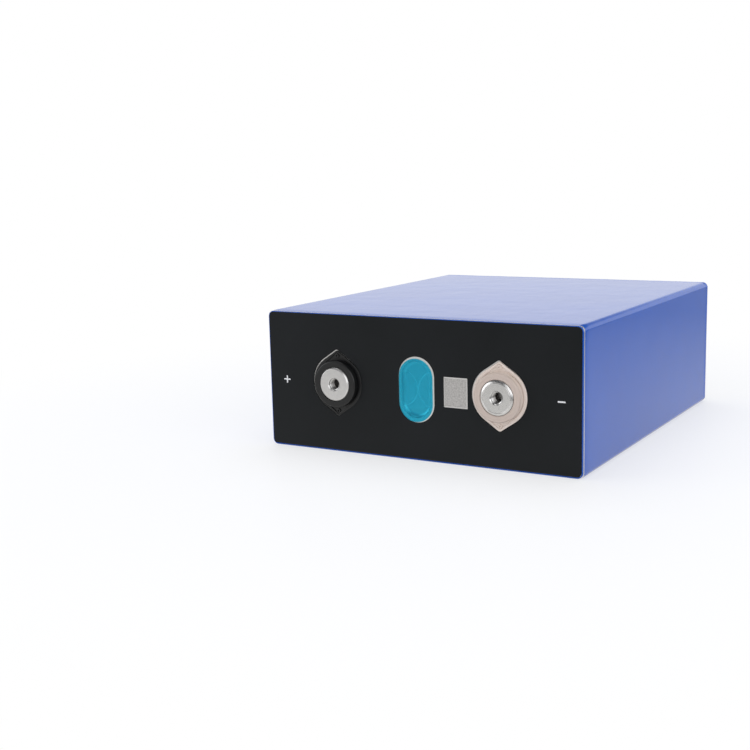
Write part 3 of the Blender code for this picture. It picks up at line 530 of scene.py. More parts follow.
def polycarbonate_sheet(name, finish):
    """Black polycarbonate film: a fine satin grain that shines little, and faint dust."""
    material, add, shader, place = start_material(name, 0.42, ior=1.58)
    shader.inputs["Specular IOR Level"].default_value = 0.15
    cloud = add("TexNoise", place, pitch(SHEET_CLOUD), 4.0)
    clean = add("Mix", cloud, finish.sheet_black, linear("171A1D"), data_type="RGBA")
    dust = add("MapRange", add("TexNoise", place, pitch(SHEET_DUST), 2.0), 0.72, 0.80, 0.0, 0.25)
    feed(shader, "Base Color", add("Mix", dust, clean, linear("6A6D70"), data_type="RGBA"))
    feed(shader, "Roughness", add("MapRange", cloud, 0.0, 1.0, 0.34, 0.50))
    grain = add("TexNoise", place, pitch(SHEET_GRAIN), 1.0)
    feed(shader, "Normal", add("Bump", FULL, 0.000008, None, grain))
    return material


def moulded_plastic(name, colours, side, roughness, gloss):
    """Glass-filled PPS or PBT from a mould: slight flow marks and a fine spark-eroded grain. The hub's face
    is coloured darker than the flange below it."""
    material, add, shader, place = start_material(name, roughness, ior=1.55)
    shader.inputs["Specular IOR Level"].default_value = gloss
    light, dark, hub_colour = colours
    flow = add("TexNoise", place, pitch(FLOW_MARKS), 3.0, None, None, 0.8)
    moulded = add("Mix", flow, light, dark, data_type="RGBA")
    # Short streaks run round the hub's axis in the darker colour of the hub's face.
    centred = add("Mapping", place, -middle_of(f"{side}_terminal"))
    rings = {"output": "Fac", "wave_type": "RINGS", "rings_direction": "Y"}
    streaks = add("TexWave", centred, ring_pitch(HUB_STREAKS), 3.0, 2.0, **rings)
    hub_face = node_box(f"{side}_upper_insulator")[0].y
    on_hub = add("MapRange", add("SeparateXYZ", place, output="Y"), hub_face + 0.0016, hub_face + 0.0002)
    darker_hub = add("Math", on_hub, add("MapRange", streaks, 0.0, 1.0, 0.85, 1.0), operation="MULTIPLY")
    feed(shader, "Base Color", add("Mix", darker_hub, moulded, hub_colour, data_type="RGBA"))
    grain = add("TexNoise", place, pitch(MOULD_GRAIN), 2.0)
    feed(shader, "Roughness", add("MapRange", grain, 0.0, 1.0, roughness - 0.07, roughness + 0.10))
    feed(shader, "Normal", add("Bump", FULL, 0.000012, None, grain))
    return material


def machined_aluminium(name, finish, centre, roughness):
    """Aluminium faced in a lathe: a slight mottle, rings of tool marks, small dings and painted shade that
    darkens the tapped hole.
    """
    material, add, shader, place = start_material(name, roughness, metallic=1.0)
    cloud = add("TexNoise", place, pitch(METAL_MOTTLE), 4.0)
    clean = add("Mix", cloud, finish.aluminium, linear("D2D1D1"), data_type="RGBA")
    # Painted shade: the tapped hole's thread is coloured darker the deeper it goes, for the shade inside the
    # hole.
    face = node_box("positive_terminal")[0].y
    deep = add("MapRange", add("SeparateXYZ", place, output="Y"), face + 0.0008, face + 0.0032)
    feed(shader, "Base Color", add("Mix", deep, clean, linear("918F8D"), data_type="RGBA"))
    feed(shader, "Roughness", add("MapRange", cloud, 0.0, 1.0, roughness - 0.08, roughness + 0.10))
    centred = add("Mapping", place, -centre)
    rings = {"output": "Fac", "wave_type": "RINGS", "rings_direction": "Y"}
    turned = add("TexWave", centred, ring_pitch(TOOL_MARKS), 0.6, 1.0, **rings)
    marks = add("Bump", FULL, 0.00001, None, turned)
    dings = add("MapRange", add("TexVoronoi", place, pitch(DINGS)), 0.0, 0.18)
    feed(shader, "Normal", add("Bump", FULL, 0.00001, None, dings, marks))
    return material


def rolled_metal(name, colour, shade, roughness):
    """Rolled or drawn sheet metal: fine lines along the rolling direction."""
    material, add, shader, place = start_material(name, roughness, metallic=1.0)
    along = add("Mapping", place, None, None, (0.05, 1.0, 1.0))
    lines = add("TexNoise", along, pitch(ROLLING_LINES), 3.0)
    feed(shader, "Base Color", add("Mix", lines, colour, shade, data_type="RGBA"))
    feed(shader, "Roughness", add("MapRange", lines, 0.0, 1.0, roughness - 0.08, roughness + 0.10))
    feed(shader, "Normal", add("Bump", FULL, 0.000006, None, lines))
    return material


def lid_metal(finish, patch, border):
    """The lid's stamped aluminium. Inside the patch that the sheet leaves bare, a laser has etched a matt
    field with an even speckle."""
    material, add, shader, place = start_material("stamped_aluminium_lid", 0.35, metallic=1.0)
    low, high = patch
    inside = 1.0
    for axis, index in (("X", 0), ("Z", 2)):
        middle = (low[index] + high[index]) / 2
        half = (high[index] - low[index]) / 2 - border
        offset = add("Math", add("SeparateXYZ", place, output=axis), middle, operation="SUBTRACT")
        within = add("Math", add("Math", offset, operation="ABSOLUTE"), half, operation="LESS_THAN")
        inside = add("Math", within, inside, operation="MULTIPLY")
    speckle = add("TexNoise", place, pitch(ETCHED_GRAIN), 2.5)
    etched = add("Mix", speckle, linear("9A9897"), linear("ECEAE8"), data_type="RGBA")
    feed(shader, "Base Color", add("Mix", inside, finish.aluminium, etched, data_type="RGBA"))
    feed(shader, "Roughness", add("MapRange", inside, 0.0, 1.0, 0.42, 0.62))
    grain = add("Math", speckle, inside, operation="MULTIPLY")
    feed(shader, "Normal", add("Bump", FULL, 0.00002, None, grain))
    return material


def scored_metal(shape):
    """Pressed aluminium sheet: a soft mottle from the press, and two scored arcs, coloured lighter than the
    sheet as a painted highlight for the light that their grooves catch.
    """
    material, add, shader, place = start_material("pressed_aluminium_vent", 0.34, metallic=1.0)
    scored = 0.0
    for way in (-1, 1):
        centre = middle_of("vent_disc") + Vector((way * (shape.score_radius + shape.score_gap), 0, 0))
        offset = add("VectorMath", place, centre, operation="SUBTRACT")
        flat = add("VectorMath", offset, (1, 0, 1), operation="MULTIPLY")
        reach = add("VectorMath", flat, operation="LENGTH")
        from_arc = add("Math", reach, shape.score_radius, operation="SUBTRACT")
        distance = add("Math", from_arc, operation="ABSOLUTE")
        near = add("MapRange", distance, shape.score_width * 0.35, shape.score_width * 0.70, 1.0, 0.0)
        scored = add("Math", near, scored, operation="MAXIMUM")
    mottle = add("TexNoise", place, pitch(PRESS_MOTTLE), 3.0)
    sheet = add("Mix", mottle, linear("D2D3D5"), linear("E8E9EA"), data_type="RGBA")
    # Painted highlight: the scored arcs are coloured lighter than the sheet.
    feed(shader, "Base Color", add("Mix", scored, sheet, linear("F8F9FA"), data_type="RGBA"))
    feed(shader, "Roughness", add("MapRange", scored, 0.0, 1.0, 0.34, 0.62))
    pressed = add("Bump", FULL, 0.00008, None, mottle)
    feed(shader, "Normal", add("Bump", FULL, -0.0001, None, scored, pressed))
    return material


def tinted_film(finish):
    """Clear cyan protective film of PET: it tints what lies behind it, and shines on its own face. Light
    meets both of its faces on the way in and on the way out, so each face tints only a little."""
    material, add, shader, place = start_material("protective_film_cyan", 0.10, ior=1.5)
    cloud = add("TexNoise", place, pitch(VENT_FILM_CLOUD), 2.0)
    feed(shader, "Base Color", add("Mix", cloud, finish.vent_cyan, linear("24B6DE"), data_type="RGBA"))
    feed(shader, "Normal", add("Bump", FULL, 0.00006, None, cloud))
    clear = add("BsdfTransparent", linear("B8F1F8"))
    shown = add("MixShader", 0.12, clear, shader.outputs["BSDF"])
    feed(material.node_tree.nodes["Material Output"], "Surface", shown)
    return material


def printed_ink(finish):
    """White screen-printed ink with small pinholes."""
    material, add, shader, place = start_material("screen_ink_white", 0.55)
    holes = add("TexNoise", place, pitch(INK_PINHOLES), 2.0)
    feed(shader, "Base Color", add("Mix", holes, finish.ink_white, linear("D4D5D6"), data_type="RGBA"))
    feed(shader, "Normal", add("Bump", FULL, 0.00001, None, holes))
    return material


def soft_material(name, colour, shade, roughness, grain):
    """A plain matt material, such as rubber, separator, coating or natural plastic."""
    material, add, shader, place = start_material(name, roughness)
    noise = add("TexNoise", place, pitch(grain), 4.0)
    feed(shader, "Base Color", add("Mix", noise, colour, shade, data_type="RGBA"))
    feed(shader, "Roughness", add("MapRange", noise, 0.0, 1.0, roughness - 0.08, roughness + 0.08))
    feed(shader, "Normal", add("Bump", FULL, grain / GRAIN_SLOPE, None, noise))
    return material


# ---- The visible pieces ----


class CELL_OT_sleeve(bpy.types.Operator):
    """Make the blue film sleeve, with its rim round the lid and its lip over the base"""

    bl_idname = "cell.sleeve"
    bl_label = "Blue Sleeve"

    def execute(self, context):
        shape = context.scene.cell_shape
        low, high = node_box("shrink_sleeve")
        middle = (low + high) / 2
        sleeve = add_box("sleeve", low, high)

        def draw_in(width, half):
            """Scale the picked flat faces so that they end some way inside their half sizes."""
            share = (1 - width / half.x, 1, 1 - width / half.z)
            bpy.ops.transform.resize(value=share, center_override=middle)

        with editing(sleeve):
            round_edges(sleeve, lambda edge: abs(edge_vector(edge).y) > TINY, shape.film_edge, 10)
            # The base: a rounded edge, then a flat lip round a window. The lip is scaled and not inset,
            # because so wide an inset folds over itself at the round corners.
            at_base = lambda edge: edge.verts[0].co.y > middle.y
            round_edges(sleeve, lambda edge: sharp_edge(edge) and at_base(edge), shape.film_base_edge, 8)
            pick(sleeve, lambda face: face.normal.y > 0.99)
            push((0, 0, 0))
            draw_in(shape.film_base_lip, (high - low) / 2 - Vector((1, 0, 1)) * shape.film_base_edge)
            bpy.ops.mesh.delete(type="FACE")
            # The front: the film draws in a little, then stands up as a low rim, with a lip inside it.
            pick(sleeve, lambda face: face.normal.y < -0.99)
            bpy.ops.transform.translate(value=(0, shape.mouth_depth, 0))
            push((0, -shape.mouth_depth, 0))
            draw_in(shape.mouth_draw, (high - low) / 2)
            push((0, -shape.rim_height, 0))
            bpy.ops.mesh.inset(thickness=shape.rim_width)
            push((0, shape.rim_height, 0))
            bpy.ops.mesh.inset(thickness=shape.rim_lip)
            bpy.ops.mesh.delete(type="FACE")
            rim_level = low.y - shape.rim_height / 2
            on_rim = lambda edge: all(vert.co.y < rim_level for vert in edge.verts)
            rounding = shape.rim_width * RIM_ROUNDING
            round_edges(sleeve, lambda edge: sharp_edge(edge) and on_rim(edge), rounding, 4)
            # Cuts across the long faces, so that they can wave.
            for axis in range(3):
                long_side = (high - low)[axis] / 2
                pick(sleeve, lambda edge: abs(edge_vector(edge)[axis]) > long_side, "EDGE")
                cuts = round(shape.film_cuts * (high - low)[axis] / (high - low).y)
                bpy.ops.mesh.subdivide(number_cuts=cuts)
            pick(sleeve, lambda edge: len(edge.link_faces) == 1 and at_base(edge), "EDGE")
            bpy.ops.transform.vertex_random(offset=shape.film_lip_waver, seed=4)
            bpy.ops.transform.resize(value=(1, 0, 1), center_override=(middle.x, high.y, middle.z))

        waves = bpy.data.textures.new("film_waves", "CLOUDS")
        waves.noise_scale = shape.film_wave_length
        inwards = {"mid_level": 1.0, "texture_coords": "LOCAL"}
        modify(sleeve, "DISPLACE", texture=waves, strength=shape.film_wave, **inwards)
        modify(sleeve, "SOLIDIFY", thickness=shape.film_wall, offset=-1.0)
        finish_piece(sleeve, pet_shrink_film(context.scene.cell_finish), "blue_film", "shrink_sleeve")
        return {"FINISHED"}


class CELL_OT_lid_sheet(bpy.types.Operator):
    """Make the black sheet on the lid, with its windows"""

    bl_idname = "cell.lid_sheet"
    bl_label = "Black Lid Sheet"

    def execute(self, context):
        shape = context.scene.cell_shape
        low, high = node_box("lid_sheet")
        sheet = add_box("black_sheet", low, high)
        with editing(sheet):
            round_edges(sheet, lambda edge: abs(edge_vector(edge).y) > TINY, shape.sheet_corner, 10)
        depth = high.y - low.y
        for side in ("positive", "negative"):
            radius, tip = shape.eye_radius + shape.eye_gap, shape.eye_tip + shape.eye_tip_gap
            window = add_eye("window", shape, radius, tip, -depth, 2 * depth)
            face_front(window, f"{side}_terminal", high.y, shape.eye_shift_x, shape.eye_shift_z)
            combine(sheet, window, "DIFFERENCE")
        width, length = vent_window(shape)
        window = add_stadium("window", width, length, -depth, 2 * depth)
        face_front(window, "vent_disc", high.y, shape.vent_shift)
        combine(sheet, window, "DIFFERENCE")
        patch_low, patch_high = code_patch(shape)
        over = Vector((0, depth, 0))
        window = add_box("window", patch_low - over, patch_high + over)
        with editing(window):
            round_edges(window, lambda edge: abs(edge_vector(edge).y) > TINY, shape.code_corner, 4)
        combine(sheet, window, "DIFFERENCE")
        soften(sheet, shape.sheet_edge)
        material = polycarbonate_sheet("polycarbonate_sheet_black", context.scene.cell_finish)
        finish_piece(sheet, material, "lid_sheet", "lid_sheet")
        return {"FINISHED"}


def vent_window(shape):
    """Width and length of the black sheet's window over the vent."""
    low, high = node_box("vent_film")
    return high.x - low.x + 2 * shape.film_gap, high.z - low.z + 2 * shape.film_gap


def code_patch(shape):
    """The lowest and highest corners of the bare patch beside the vent."""
    vent_side = vent_window(shape)[0] / 2
    eye_side = node_box("negative_upper_insulator")[0].x
    sheet_low, sheet_high = node_box("lid_sheet")
    x = (vent_side + eye_side) / 2 + shape.code_shift
    z = middle_of("negative_terminal").z
    low = Vector((x - shape.code_width / 2, sheet_low.y, z - shape.code_height / 2))
    high = Vector((x + shape.code_width / 2, sheet_high.y, z + shape.code_height / 2))
    return low, high


class CELL_OT_insulators(bpy.types.Operator):
    """Make the moulded insulators round the terminals"""

    bl_idname = "cell.insulators"
    bl_label = "Upper Insulators"

    def make_flange(self, shape, name, foot, top):
        """The pointed flange: a raised rim, wide at the sides, round a shallow channel."""
        flange = add_eye(name, shape, shape.eye_radius, shape.eye_tip, foot, top)
        floor, over = top - shape.channel_depth, top + shape.channel_depth
        channel = add_eye("channel", shape, shape.channel_radius, shape.channel_tip, floor, over)
        combine(flange, channel, "DIFFERENCE")
        with editing(flange):
            round_edges(flange, lambda edge: sharp_at(edge, top), shape.mould_edge, 3)
        return flange

    def make_boss(self, shape, y, foot, top):
        """A small ring boss with a blind hole."""
        boss = add_cylinder("boss", shape.boss_radius, foot, top, sides=SMALL_ROUND)
        with editing(boss):
            pick(boss, top_face)
            bpy.ops.mesh.inset(thickness=shape.boss_radius - shape.boss_bore)
            push((0, 0, -shape.boss_depth))
            round_edges(boss, lambda edge: sharp_at(edge, top), shape.mould_edge / 2, 2)
        boss.location.y = y
        apply_place(boss)
        return boss

    def make_hub(self, shape, foot, top, pocket):
        """The round hub, with the pocket in which the disc sits."""
        wide = shape.hub_radius + shape.hub_draft
        hub = add_cylinder("hub", wide, foot, top, top_radius=shape.hub_radius)
        with editing(hub):
            pick(hub, top_face)
            bpy.ops.mesh.inset(thickness=shape.hub_radius - pocket)
            push((0, 0, -shape.pocket_depth))
            outside = lambda edge: math.hypot(*edge.verts[0].co.xy) > pocket + TINY
            round_edges(hub, lambda edge: sharp_at(edge, top) and outside(edge), shape.hub_edge, 5)
            round_edges(hub, lambda edge: sharp_at(edge, top), shape.mould_edge, 3)
        return hub

    def make_insulator(self, shape, side):
        """One insulator, built standing up on the lid's plane."""
        low, high = node_box(f"{side}_upper_insulator")
        lid_top = node_box("lid_plate")[0].y
        hub_top, collar_bottom = lid_top - low.y, lid_top - high.y
        flange_top = lid_top - node_box("lid_sheet")[0].y + shape.flange_rise
        # The flange sits in a shallow seat in the lid. The other parts start at levels of their own,
        # because bottoms that lie in one plane don't join well.
        foot = -shape.channel_depth * 0.8
        insulator = self.make_flange(shape, f"{side}_insulator", foot, flange_top)
        boss_y = shape.eye_reach - shape.boss_inset
        for y in (-boss_y, boss_y):
            boss = self.make_boss(shape, y, foot / 2, flange_top + shape.mould_edge / 4)
            combine(insulator, boss, "UNION")
        hub = self.make_hub(shape, foot / 3, hub_top, shape.disc_radius + shape.pocket_gap)
        combine(insulator, hub, "UNION")
        collar = add_cylinder("collar", shape.collar_radius, collar_bottom, foot / 4)
        combine(insulator, collar, "UNION")
        bore_radius = shape.neck_radius + shape.neck_gap
        bore = add_cylinder("bore", bore_radius, collar_bottom - shape.mould_edge, hub_top)
        combine(insulator, bore, "DIFFERENCE")
        face_front(insulator, f"{side}_terminal", lid_top)
        return insulator

    def execute(self, context):
        shape = context.scene.cell_shape
        finish = context.scene.cell_finish
        blacks = (finish.insulator_black, linear("121314"), linear("0E0F10"))
        tans = (finish.insulator_tan, finish.insulator_shade, finish.insulator_hub_face)
        for side, slot, plastic in (
            ("positive", "black_insulator", ("moulded_pps_black", blacks, "positive", 0.30, 0.42)),
            ("negative", "tan_insulator", ("moulded_pbt_tan", tans, "negative", 0.36, 0.8)),
        ):
            insulator = self.make_insulator(shape, side)
            finish_piece(insulator, moulded_plastic(*plastic), slot, f"{side}_upper_insulator")
        return {"FINISHED"}


class CELL_OT_terminals(bpy.types.Operator):
    """Make the machined terminal discs, with their tapped holes"""

    bl_idname = "cell.terminals"
    bl_label = "Terminal Discs"

    def make_thread(self, shape):
        """A helical ridge for the hole's wall, from just under the countersink to the floor."""
        size = shape.thread_height / 1.5 + THREAD_ROOT  # a triangle is 1.5 times as high as its radius
        start = THREAD_START * shape.thread_pitch - shape.bolt_depth
        turns = int((shape.bolt_depth - shape.bolt_countersink) / shape.thread_pitch - THREAD_STOP)
        clear_selection()
        bpy.ops.mesh.primitive_circle_add(
            vertices=3,
            radius=size,
            location=(shape.bolt_radius - size / 2 + THREAD_SINK, 0, start),
            rotation=(math.pi / 2, -math.pi / 2, 0),
        )
        thread = named("thread")
        apply_place(thread)
        steps = {"steps": SMALL_ROUND, "render_steps": SMALL_ROUND, "use_merge_vertices": False}
        modify(thread, "SCREW", screw_offset=shape.thread_pitch, iterations=turns, **steps)
        with editing(thread):
            bpy.ops.mesh.select_all(action="SELECT")
            bpy.ops.mesh.fill_holes(sides=4)
            bpy.ops.mesh.select_all(action="SELECT")
            bpy.ops.mesh.normals_make_consistent(inside=False)
        return thread

    def make_terminal(self, shape, side):
        """One terminal, built standing up with its face at height 0."""
        low, high = node_box(f"{side}_terminal")
        radius = shape.disc_radius
        chamfer = shape.chamfer_positive if side == "positive" else shape.chamfer_negative
        mouth = shape.bolt_radius + shape.bolt_countersink
        terminal = add_cylinder(f"{side}_disc", radius, -shape.disc_depth, -shape.chamfer_depth)
        with editing(terminal):
            pick(terminal, bottom_face)
            bpy.ops.mesh.inset(thickness=radius - shape.neck_radius)
            push((0, 0, -(high.y - low.y - shape.disc_depth)))
            pick(terminal, lambda face: top_face(face) and face.verts[0].co.z > -shape.disc_depth / 2)
            bpy.ops.mesh.inset(thickness=chamfer, depth=shape.chamfer_depth)
            face_radius = radius - chamfer
            if side == "negative":
                bpy.ops.mesh.inset(thickness=shape.step_width / 2, depth=-shape.step_depth)
                bpy.ops.mesh.inset(thickness=shape.step_width / 2)
                bpy.ops.mesh.inset(thickness=shape.step_width / 2, depth=shape.step_depth)
                face_radius -= shape.step_width * 1.5
            bpy.ops.mesh.inset(thickness=face_radius - mouth)
            push((0, 0, -shape.bolt_countersink))
            share = shape.bolt_radius / mouth
            bpy.ops.transform.resize(value=(share, share, 1))
            push((0, 0, shape.bolt_countersink - shape.bolt_depth))
        soften(terminal, shape.disc_edge)
        combine(terminal, self.make_thread(shape), "UNION")
        face_front(terminal, f"{side}_terminal", low.y)
        return terminal

    def execute(self, context):
        shape = context.scene.cell_shape
        finish = context.scene.cell_finish
        for side, roughness in (("positive", 0.34), ("negative", 0.26)):
            centre = middle_of(f"{side}_terminal")
            metal = machined_aluminium(f"machined_aluminium_{side}", finish, centre, roughness)
            finish_piece(self.make_terminal(shape, side), metal, "terminal_aluminium", f"{side}_terminal")
        return {"FINISHED"}


class CELL_OT_vent(bpy.types.Operator):
    """Make the scored vent cup and the protective film over it"""

    bl_idname = "cell.vent"
    bl_label = "Vent"

    def make_dish(self, shape, name, rim, panel_top, panel_bottom, wall):
        """A dish: a flat panel, a wide fillet all round and a thin wall."""
        low, high = node_box("vent_disc")
        dish = add_stadium(name, high.x - low.x, high.z - low.z, panel_bottom, rim)
        with editing(dish):
            pick(dish, top_face)
            bpy.ops.mesh.inset(thickness=wall)
            push((0, 0, panel_top - rim))
            round_edges(dish, lambda edge: sharp_at(edge, panel_top), shape.vent_fillet, 7)
        return dish

    def make_band(self, shape, way, low, high):
        """The upright ring band that one scored arc is a part of."""
        x = way * (shape.score_radius + shape.score_gap)
        half = shape.score_width / 2
        band = add_cylinder("band", shape.score_radius + half, low, high, x)
        core = add_cylinder("core", shape.score_radius - half, low - FAR, high + FAR, x)
        combine(band, core, "DIFFERENCE")
        side = node_box("vent_disc")[1].x - shape.vent_wall
        keep = add_box("keep", Vector((-side, -FAR, -FAR)), Vector((side, FAR, FAR)))
        combine(band, keep, "INTERSECT")
        return band

    def make_cup(self, shape):
        """The vent disc, drawn up into a dish that lines the lid's recess. The arcs are slots down to a
        second dish that lies a little deeper, so they follow the fillet too."""
        low, high = node_box("vent_disc")
        lid_top = node_box("lid_plate")[0].y
        panel_top, panel_bottom = lid_top - low.y, lid_top - high.y
        rim = -VENT_RIM_DROP  # the rim's height over the lid's face
        cup = self.make_dish(shape, "vent_cup", rim, panel_top, panel_bottom, shape.vent_wall)
        for way in (-1, 1):
            combine(cup, self.make_band(shape, way, panel_bottom - rim - FAR, rim + FAR), "DIFFERENCE")
        levels = (rim - shape.score_depth, panel_top - shape.score_depth, panel_bottom)
        combine(cup, self.make_dish(shape, "deeper", *levels, shape.vent_wall * 0.9), "UNION")
        face_front(cup, "vent_disc", lid_top)
        return cup

    def make_film(self, shape):
        """The film, pressed a little way into the recess, with its cut edge lifting."""
        low, high = node_box("vent_film")
        width, length, depth = high.x - low.x, high.z - low.z, high.y - low.y
        disc_low, disc_high = node_box("vent_disc")
        lap = (width - (disc_high.x - disc_low.x)) / 2
        film = add_stadium("vent_film_clear", width, length, 0, depth)
        with editing(film):
            pick(film, lambda face: top_face(face) or bottom_face(face))
            for width, sag in FILM_RINGS:
                bpy.ops.mesh.inset(thickness=lap * width, use_individual=True)
                bpy.ops.transform.translate(value=(0, 0, -shape.film_sag * sag))
            pick(film, lambda edge: abs(abs(edge_vector(edge).z) - depth) < TINY, "EDGE")
            bpy.ops.transform.translate(value=(0, 0, shape.film_curl))
        face_front(film, "vent_film", high.y)
        return film

    def execute(self, context):
        shape = context.scene.cell_shape
        finish = context.scene.cell_finish
        finish_piece(self.make_cup(shape), scored_metal(shape), "vent_aluminium", "vent_disc")
        finish_piece(self.make_film(shape), tinted_film(finish), "vent_film", "vent_film")
        return {"FINISHED"}


class CELL_OT_marks(bpy.types.Operator):
    """Print the polarity marks on the black sheet"""

    bl_idname = "cell.marks"
    bl_label = "Polarity Marks"

    def make_mark(self, shape, sign, ways):
        """One mark: a small square that is drawn out into arms."""
        low, high = node_box(f"{sign}_mark")
        middle = (low + high) / 2
        half = Vector((shape.mark_stroke, high.y - low.y, shape.mark_stroke)) / 2
        mark = add_box(f"{sign}_print", middle - half, middle + half)
        with editing(mark):
            for way in ways:
                pick(mark, lambda face: (face.calc_center_median() - middle).normalized().dot(way) > 0.99)
                push(way * (shape.mark_span - shape.mark_stroke) / 2)
            upright = lambda edge: sharp_edge(edge) and abs(edge_vector(edge).y) > TINY
            round_edges(mark, upright, shape.mark_stroke / 8, 2)
        return mark

    def execute(self, context):
        shape = context.scene.cell_shape
        ink = printed_ink(context.scene.cell_finish)
        across = [Vector((1, 0, 0)), Vector((-1, 0, 0))]
        upright = [Vector((0, 0, 1)), Vector((0, 0, -1))]
        finish_piece(self.make_mark(shape, "plus", across + upright), ink, "white_ink", "plus_mark")
        finish_piece(self.make_mark(shape, "minus", across), ink, "white_ink", "minus_mark")
        return {"FINISHED"}


class CELL_OT_carried(bpy.types.Operator):
    """Give the CAD pieces that stay visible, or lie inside the can, their materials"""

    bl_idname = "cell.carried"
    bl_label = "Carried-over Pieces"

    def execute(self, context):
        finish = context.scene.cell_finish
        shape = context.scene.cell_shape
        aluminium, copper = finish.aluminium, finish.copper
        sheet_metal = (aluminium, shaded(aluminium, 0.85))
        black, red, plastic = finish.seal_black, finish.plug_red, finish.natural_plastic
        white, grey, green = finish.separator_white, finish.electrode_grey, finish.tape_green
        # Colours, roughness and, for the soft ones, the size of the grains.
        materials = {
            "base_sheet": polycarbonate_sheet("polycarbonate_sheet_base", finish),
            "can_aluminium": rolled_metal("drawn_aluminium_can", *sheet_metal, 0.36),
            "lid_aluminium": lid_metal(finish, code_patch(shape), shape.code_border),
            "vent_aluminium": rolled_metal("stamped_aluminium_cap", *sheet_metal, 0.32),
            "positive_metal": rolled_metal("plain_aluminium", *sheet_metal, 0.34),
            "negative_metal": rolled_metal("plain_copper", copper, shaded(copper, 0.8), 0.30),
            "seal_rubber": soft_material("epdm_rubber", black, linear("2C2C2C"), 0.7, 0.0008),
            "plug_rubber": soft_material("fluoro_rubber", red, linear("94442F"), 0.6, 0.0006),
            "inner_plastic": soft_material("polypropylene_natural", plastic, shaded(plastic, 0.9), 0.5, 0.001),
            "bag_film": soft_material("polyester_film_clear", plastic, shaded(plastic, 0.88), 0.3, 0.003),
            "separator": soft_material("polyolefin_separator", white, shaded(white, 0.93), 0.65, 0.0012),
            "electrode": soft_material("graphite_coated_foil", grey, shaded(grey, 0.6), 0.7, 0.0007),
            "tape": soft_material("polyimide_tape_green", green, shaded(green, 0.8), 0.35, 0.002),
        }
        for entry in frame["record"]["subparts"]:
            if entry["material_slot"] in materials:
                node = frame["nodes"][entry["node"]]
                node.material_slots[0].material = materials[entry["material_slot"]]
        return {"FINISHED"}


# ---- Studio ----

WHITE_SPAN = (0.16, 0.40)  # distances between which the floor turns white to the camera
WHITE_NEAR = 0.60  # share of white nearer than that
FADE_SPAN = (0.14, 0.55)  # distances between which the mirrored floor fades
RIGHTWARD = (1.0, -0.35, 0.0)
FLOOR_END = (0.16, 0.27)  # distances rightward between which the mirrored floor ends
ROOM_SPAN = (-0.45, 0.35)  # between the room's front and its bright back, as parts of a unit direction
BACKDROP_END = (0.26, 0.42)  # heights between which the backdrop ends, in the same way
AIM = (0.0, 0.0, 0.035)  # where the lamps look


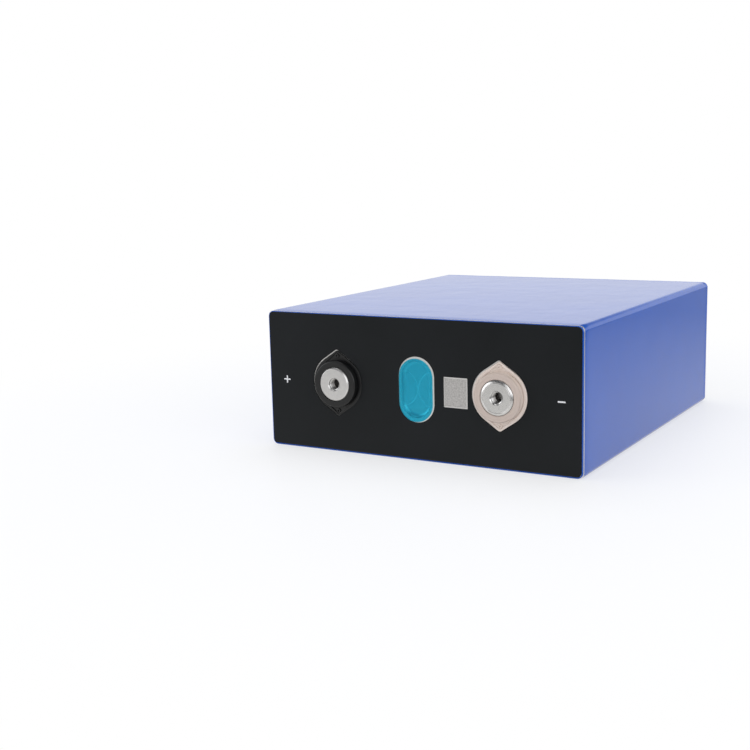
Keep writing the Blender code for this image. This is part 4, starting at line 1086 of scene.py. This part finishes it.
class CELL_OT_studio(bpy.types.Operator):
    """Make the white floor, the softboxes, the surroundings and the camera"""

    bl_idname = "cell.studio"
    bl_label = "Studio"

    def add_floor(self, finish, studio):
        """A pale floor that keeps the cell's shadow, shows white to the camera further off, and mirrors in
        glossy faces as a floor that is lit about the cell and falls off."""
        clear_selection()
        bpy.ops.mesh.primitive_plane_add(size=40.0, location=(0, 0, 0))
        floor = named("floor")
        material, add, shader, place = start_material("studio_floor", 0.5)
        shader.inputs["Base Color"].default_value = finish.floor_white
        shader.inputs["Specular IOR Level"].default_value = 0.25
        smooth = {"interpolation_type": "SMOOTHSTEP"}
        far_off = add("VectorMath", place, operation="LENGTH")
        white_share = add("MapRange", far_off, *WHITE_SPAN, WHITE_NEAR, 1.0, **smooth)
        fading = add("MapRange", far_off, *FADE_SPAN, studio.floor_near, studio.floor_far)
        # To the right the lit floor ends sooner, so the film's upright front edge mirrors a darker band.
        rightward = add("VectorMath", place, RIGHTWARD, operation="DOT_PRODUCT")
        lit = add("MapRange", rightward, *FLOOR_END, 1.0, studio.high_glow, **smooth)
        glow = add("Math", fading, lit, operation="MULTIPLY")
        white_part = add("Math", self.add_seen(add), white_share, operation="MULTIPLY")
        shown = add("MixShader", white_part, shader.outputs["BSDF"], add("Emission", WHITE, 1.0))
        mirrored = add("Emission", linear("FBFAF8"), glow)
        mix = add("MixShader", add("LightPath", output="Is Glossy Ray"), shown, mirrored)
        feed(material.node_tree.nodes["Material Output"], "Surface", mix)
        floor.data.materials.append(material)

    def add_seen(self, add):
        """1 for light that the camera sees, also through the vent's film, and else 0."""
        rays = [add("LightPath", output=ray) for ray in ("Is Camera Ray", "Is Transmission Ray")]
        return add("Math", *rays, operation="MAXIMUM")

    def add_surroundings(self, context, studio):
        """White behind the cell, where the camera sees it and where its glossy faces mirror it, and dimmer
        on the camera's side of the room."""
        world = bpy.data.worlds.new("studio")
        context.scene.world = world
        world.use_nodes = True
        world.node_tree.nodes.clear()
        add = partial(add_node, world.node_tree)
        smooth = {"interpolation_type": "SMOOTHSTEP"}
        direction = add("TexCoord", output="Generated")
        depth, height = (add("SeparateXYZ", direction, output=axis) for axis in "YZ")
        behind = add("MapRange", depth, *ROOM_SPAN, studio.front_glow, 1.0, **smooth)
        # The lit backdrop ends at some height, so the film's rounded edges mirror a darker band.
        low_down = add("MapRange", height, *BACKDROP_END, 1.0, studio.high_glow, **smooth)
        glow = add("Math", behind, low_down, operation="MULTIPLY")
        mirrored = add("Background", linear("FAFBFF"), glow)
        fill = add("Background", linear("F6F8FF"), studio.fill)
        lit = add("MixShader", add("LightPath", output="Is Glossy Ray"), fill, mirrored)
        add("OutputWorld", add("MixShader", self.add_seen(add), lit, add("Background", WHITE, 1.0)))

    def add_softbox(self, name, place, width, height, power):
        """A rectangular lamp that looks at the cell."""
        clear_selection()
        bpy.ops.object.light_add(type="AREA", location=place)
        lamp = named(name)
        lamp.data.shape = "RECTANGLE"
        lamp.data.size = width
        lamp.data.size_y = height
        lamp.data.energy = power
        lamp.rotation_euler = (Vector(AIM) - Vector(place)).to_track_quat("-Z", "Y").to_euler()

    def add_camera(self, context, studio):
        """The photograph's camera, worked out from the corners of the photographed cell."""
        sheet_low = node_box("lid_sheet")[0]
        sleeve_low = node_box("shrink_sleeve")[0]
        corner = Vector((sleeve_low.x, sheet_low.y, sleeve_low.z))
        clear_selection()
        bpy.ops.object.camera_add(location=corner + Vector(studio.camera_place))
        camera = named("camera")
        turn = Matrix.Rotation(studio.camera_turn, 3, "Z")
        tip = Matrix.Rotation(math.pi / 2 - studio.camera_rise, 3, "X")
        roll = Matrix.Rotation(studio.camera_roll, 3, "Z")
        camera.rotation_euler = (turn @ tip @ roll).to_euler()
        camera.data.lens = studio.camera_lens
        camera.data.sensor_width = 36.0
        camera.data.clip_start = 0.01
        context.scene.camera = camera

    def execute(self, context):
        studio = context.scene.cell_studio
        self.add_floor(context.scene.cell_finish, studio)
        self.add_surroundings(context, studio)
        self.add_softbox("top_softbox", (-0.2, 0.25, 1.3), 1.4, 1.4, studio.top_power)
        self.add_softbox("left_softbox", (-1.3, -0.85, 0.45), 1.0, 0.9, studio.left_power)
        self.add_softbox("right_softbox", (1.25, -0.85, 0.74), 3.0, 1.4, studio.right_power)
        self.add_camera(context, studio)
        context.scene.view_settings.view_transform = "Standard"
        return {"FINISHED"}


class CELL_PT_pieces(bpy.types.Panel):
    """The operators that make the cell, in order"""

    bl_idname = "CELL_PT_pieces"
    bl_label = "Battery Cell"
    bl_space_type = "VIEW_3D"
    bl_region_type = "UI"
    bl_category = "Battery Cell"

    def draw(self, context):
        for operator in OPERATORS:
            self.layout.operator(operator.bl_idname)


OPERATORS = (
    CELL_OT_sleeve,
    CELL_OT_lid_sheet,
    CELL_OT_insulators,
    CELL_OT_terminals,
    CELL_OT_vent,
    CELL_OT_marks,
    CELL_OT_carried,
    CELL_OT_studio,
)
CLASSES = (CellShape, CellFinish, StudioSettings, *OPERATORS, CELL_PT_pieces)


def register():
    """Register the classes and hang the settings on the scene."""
    for cls in CLASSES:
        bpy.utils.register_class(cls)
    bpy.types.Scene.cell_shape = PointerProperty(type=CellShape)
    bpy.types.Scene.cell_finish = PointerProperty(type=CellFinish)
    bpy.types.Scene.cell_studio = PointerProperty(type=StudioSettings)


def unregister():
    """Undo register."""
    del bpy.types.Scene.cell_studio
    del bpy.types.Scene.cell_finish
    del bpy.types.Scene.cell_shape
    for cls in reversed(CLASSES):
        bpy.utils.unregister_class(cls)


def main():
    """Make the cell and its studio."""
    register()
    bpy.ops.cell.sleeve()
    bpy.ops.cell.lid_sheet()
    bpy.ops.cell.insulators()
    bpy.ops.cell.terminals()
    bpy.ops.cell.vent()
    bpy.ops.cell.marks()
    bpy.ops.cell.carried()
    bpy.ops.cell.studio()


if __name__ == "__main__":
    main()
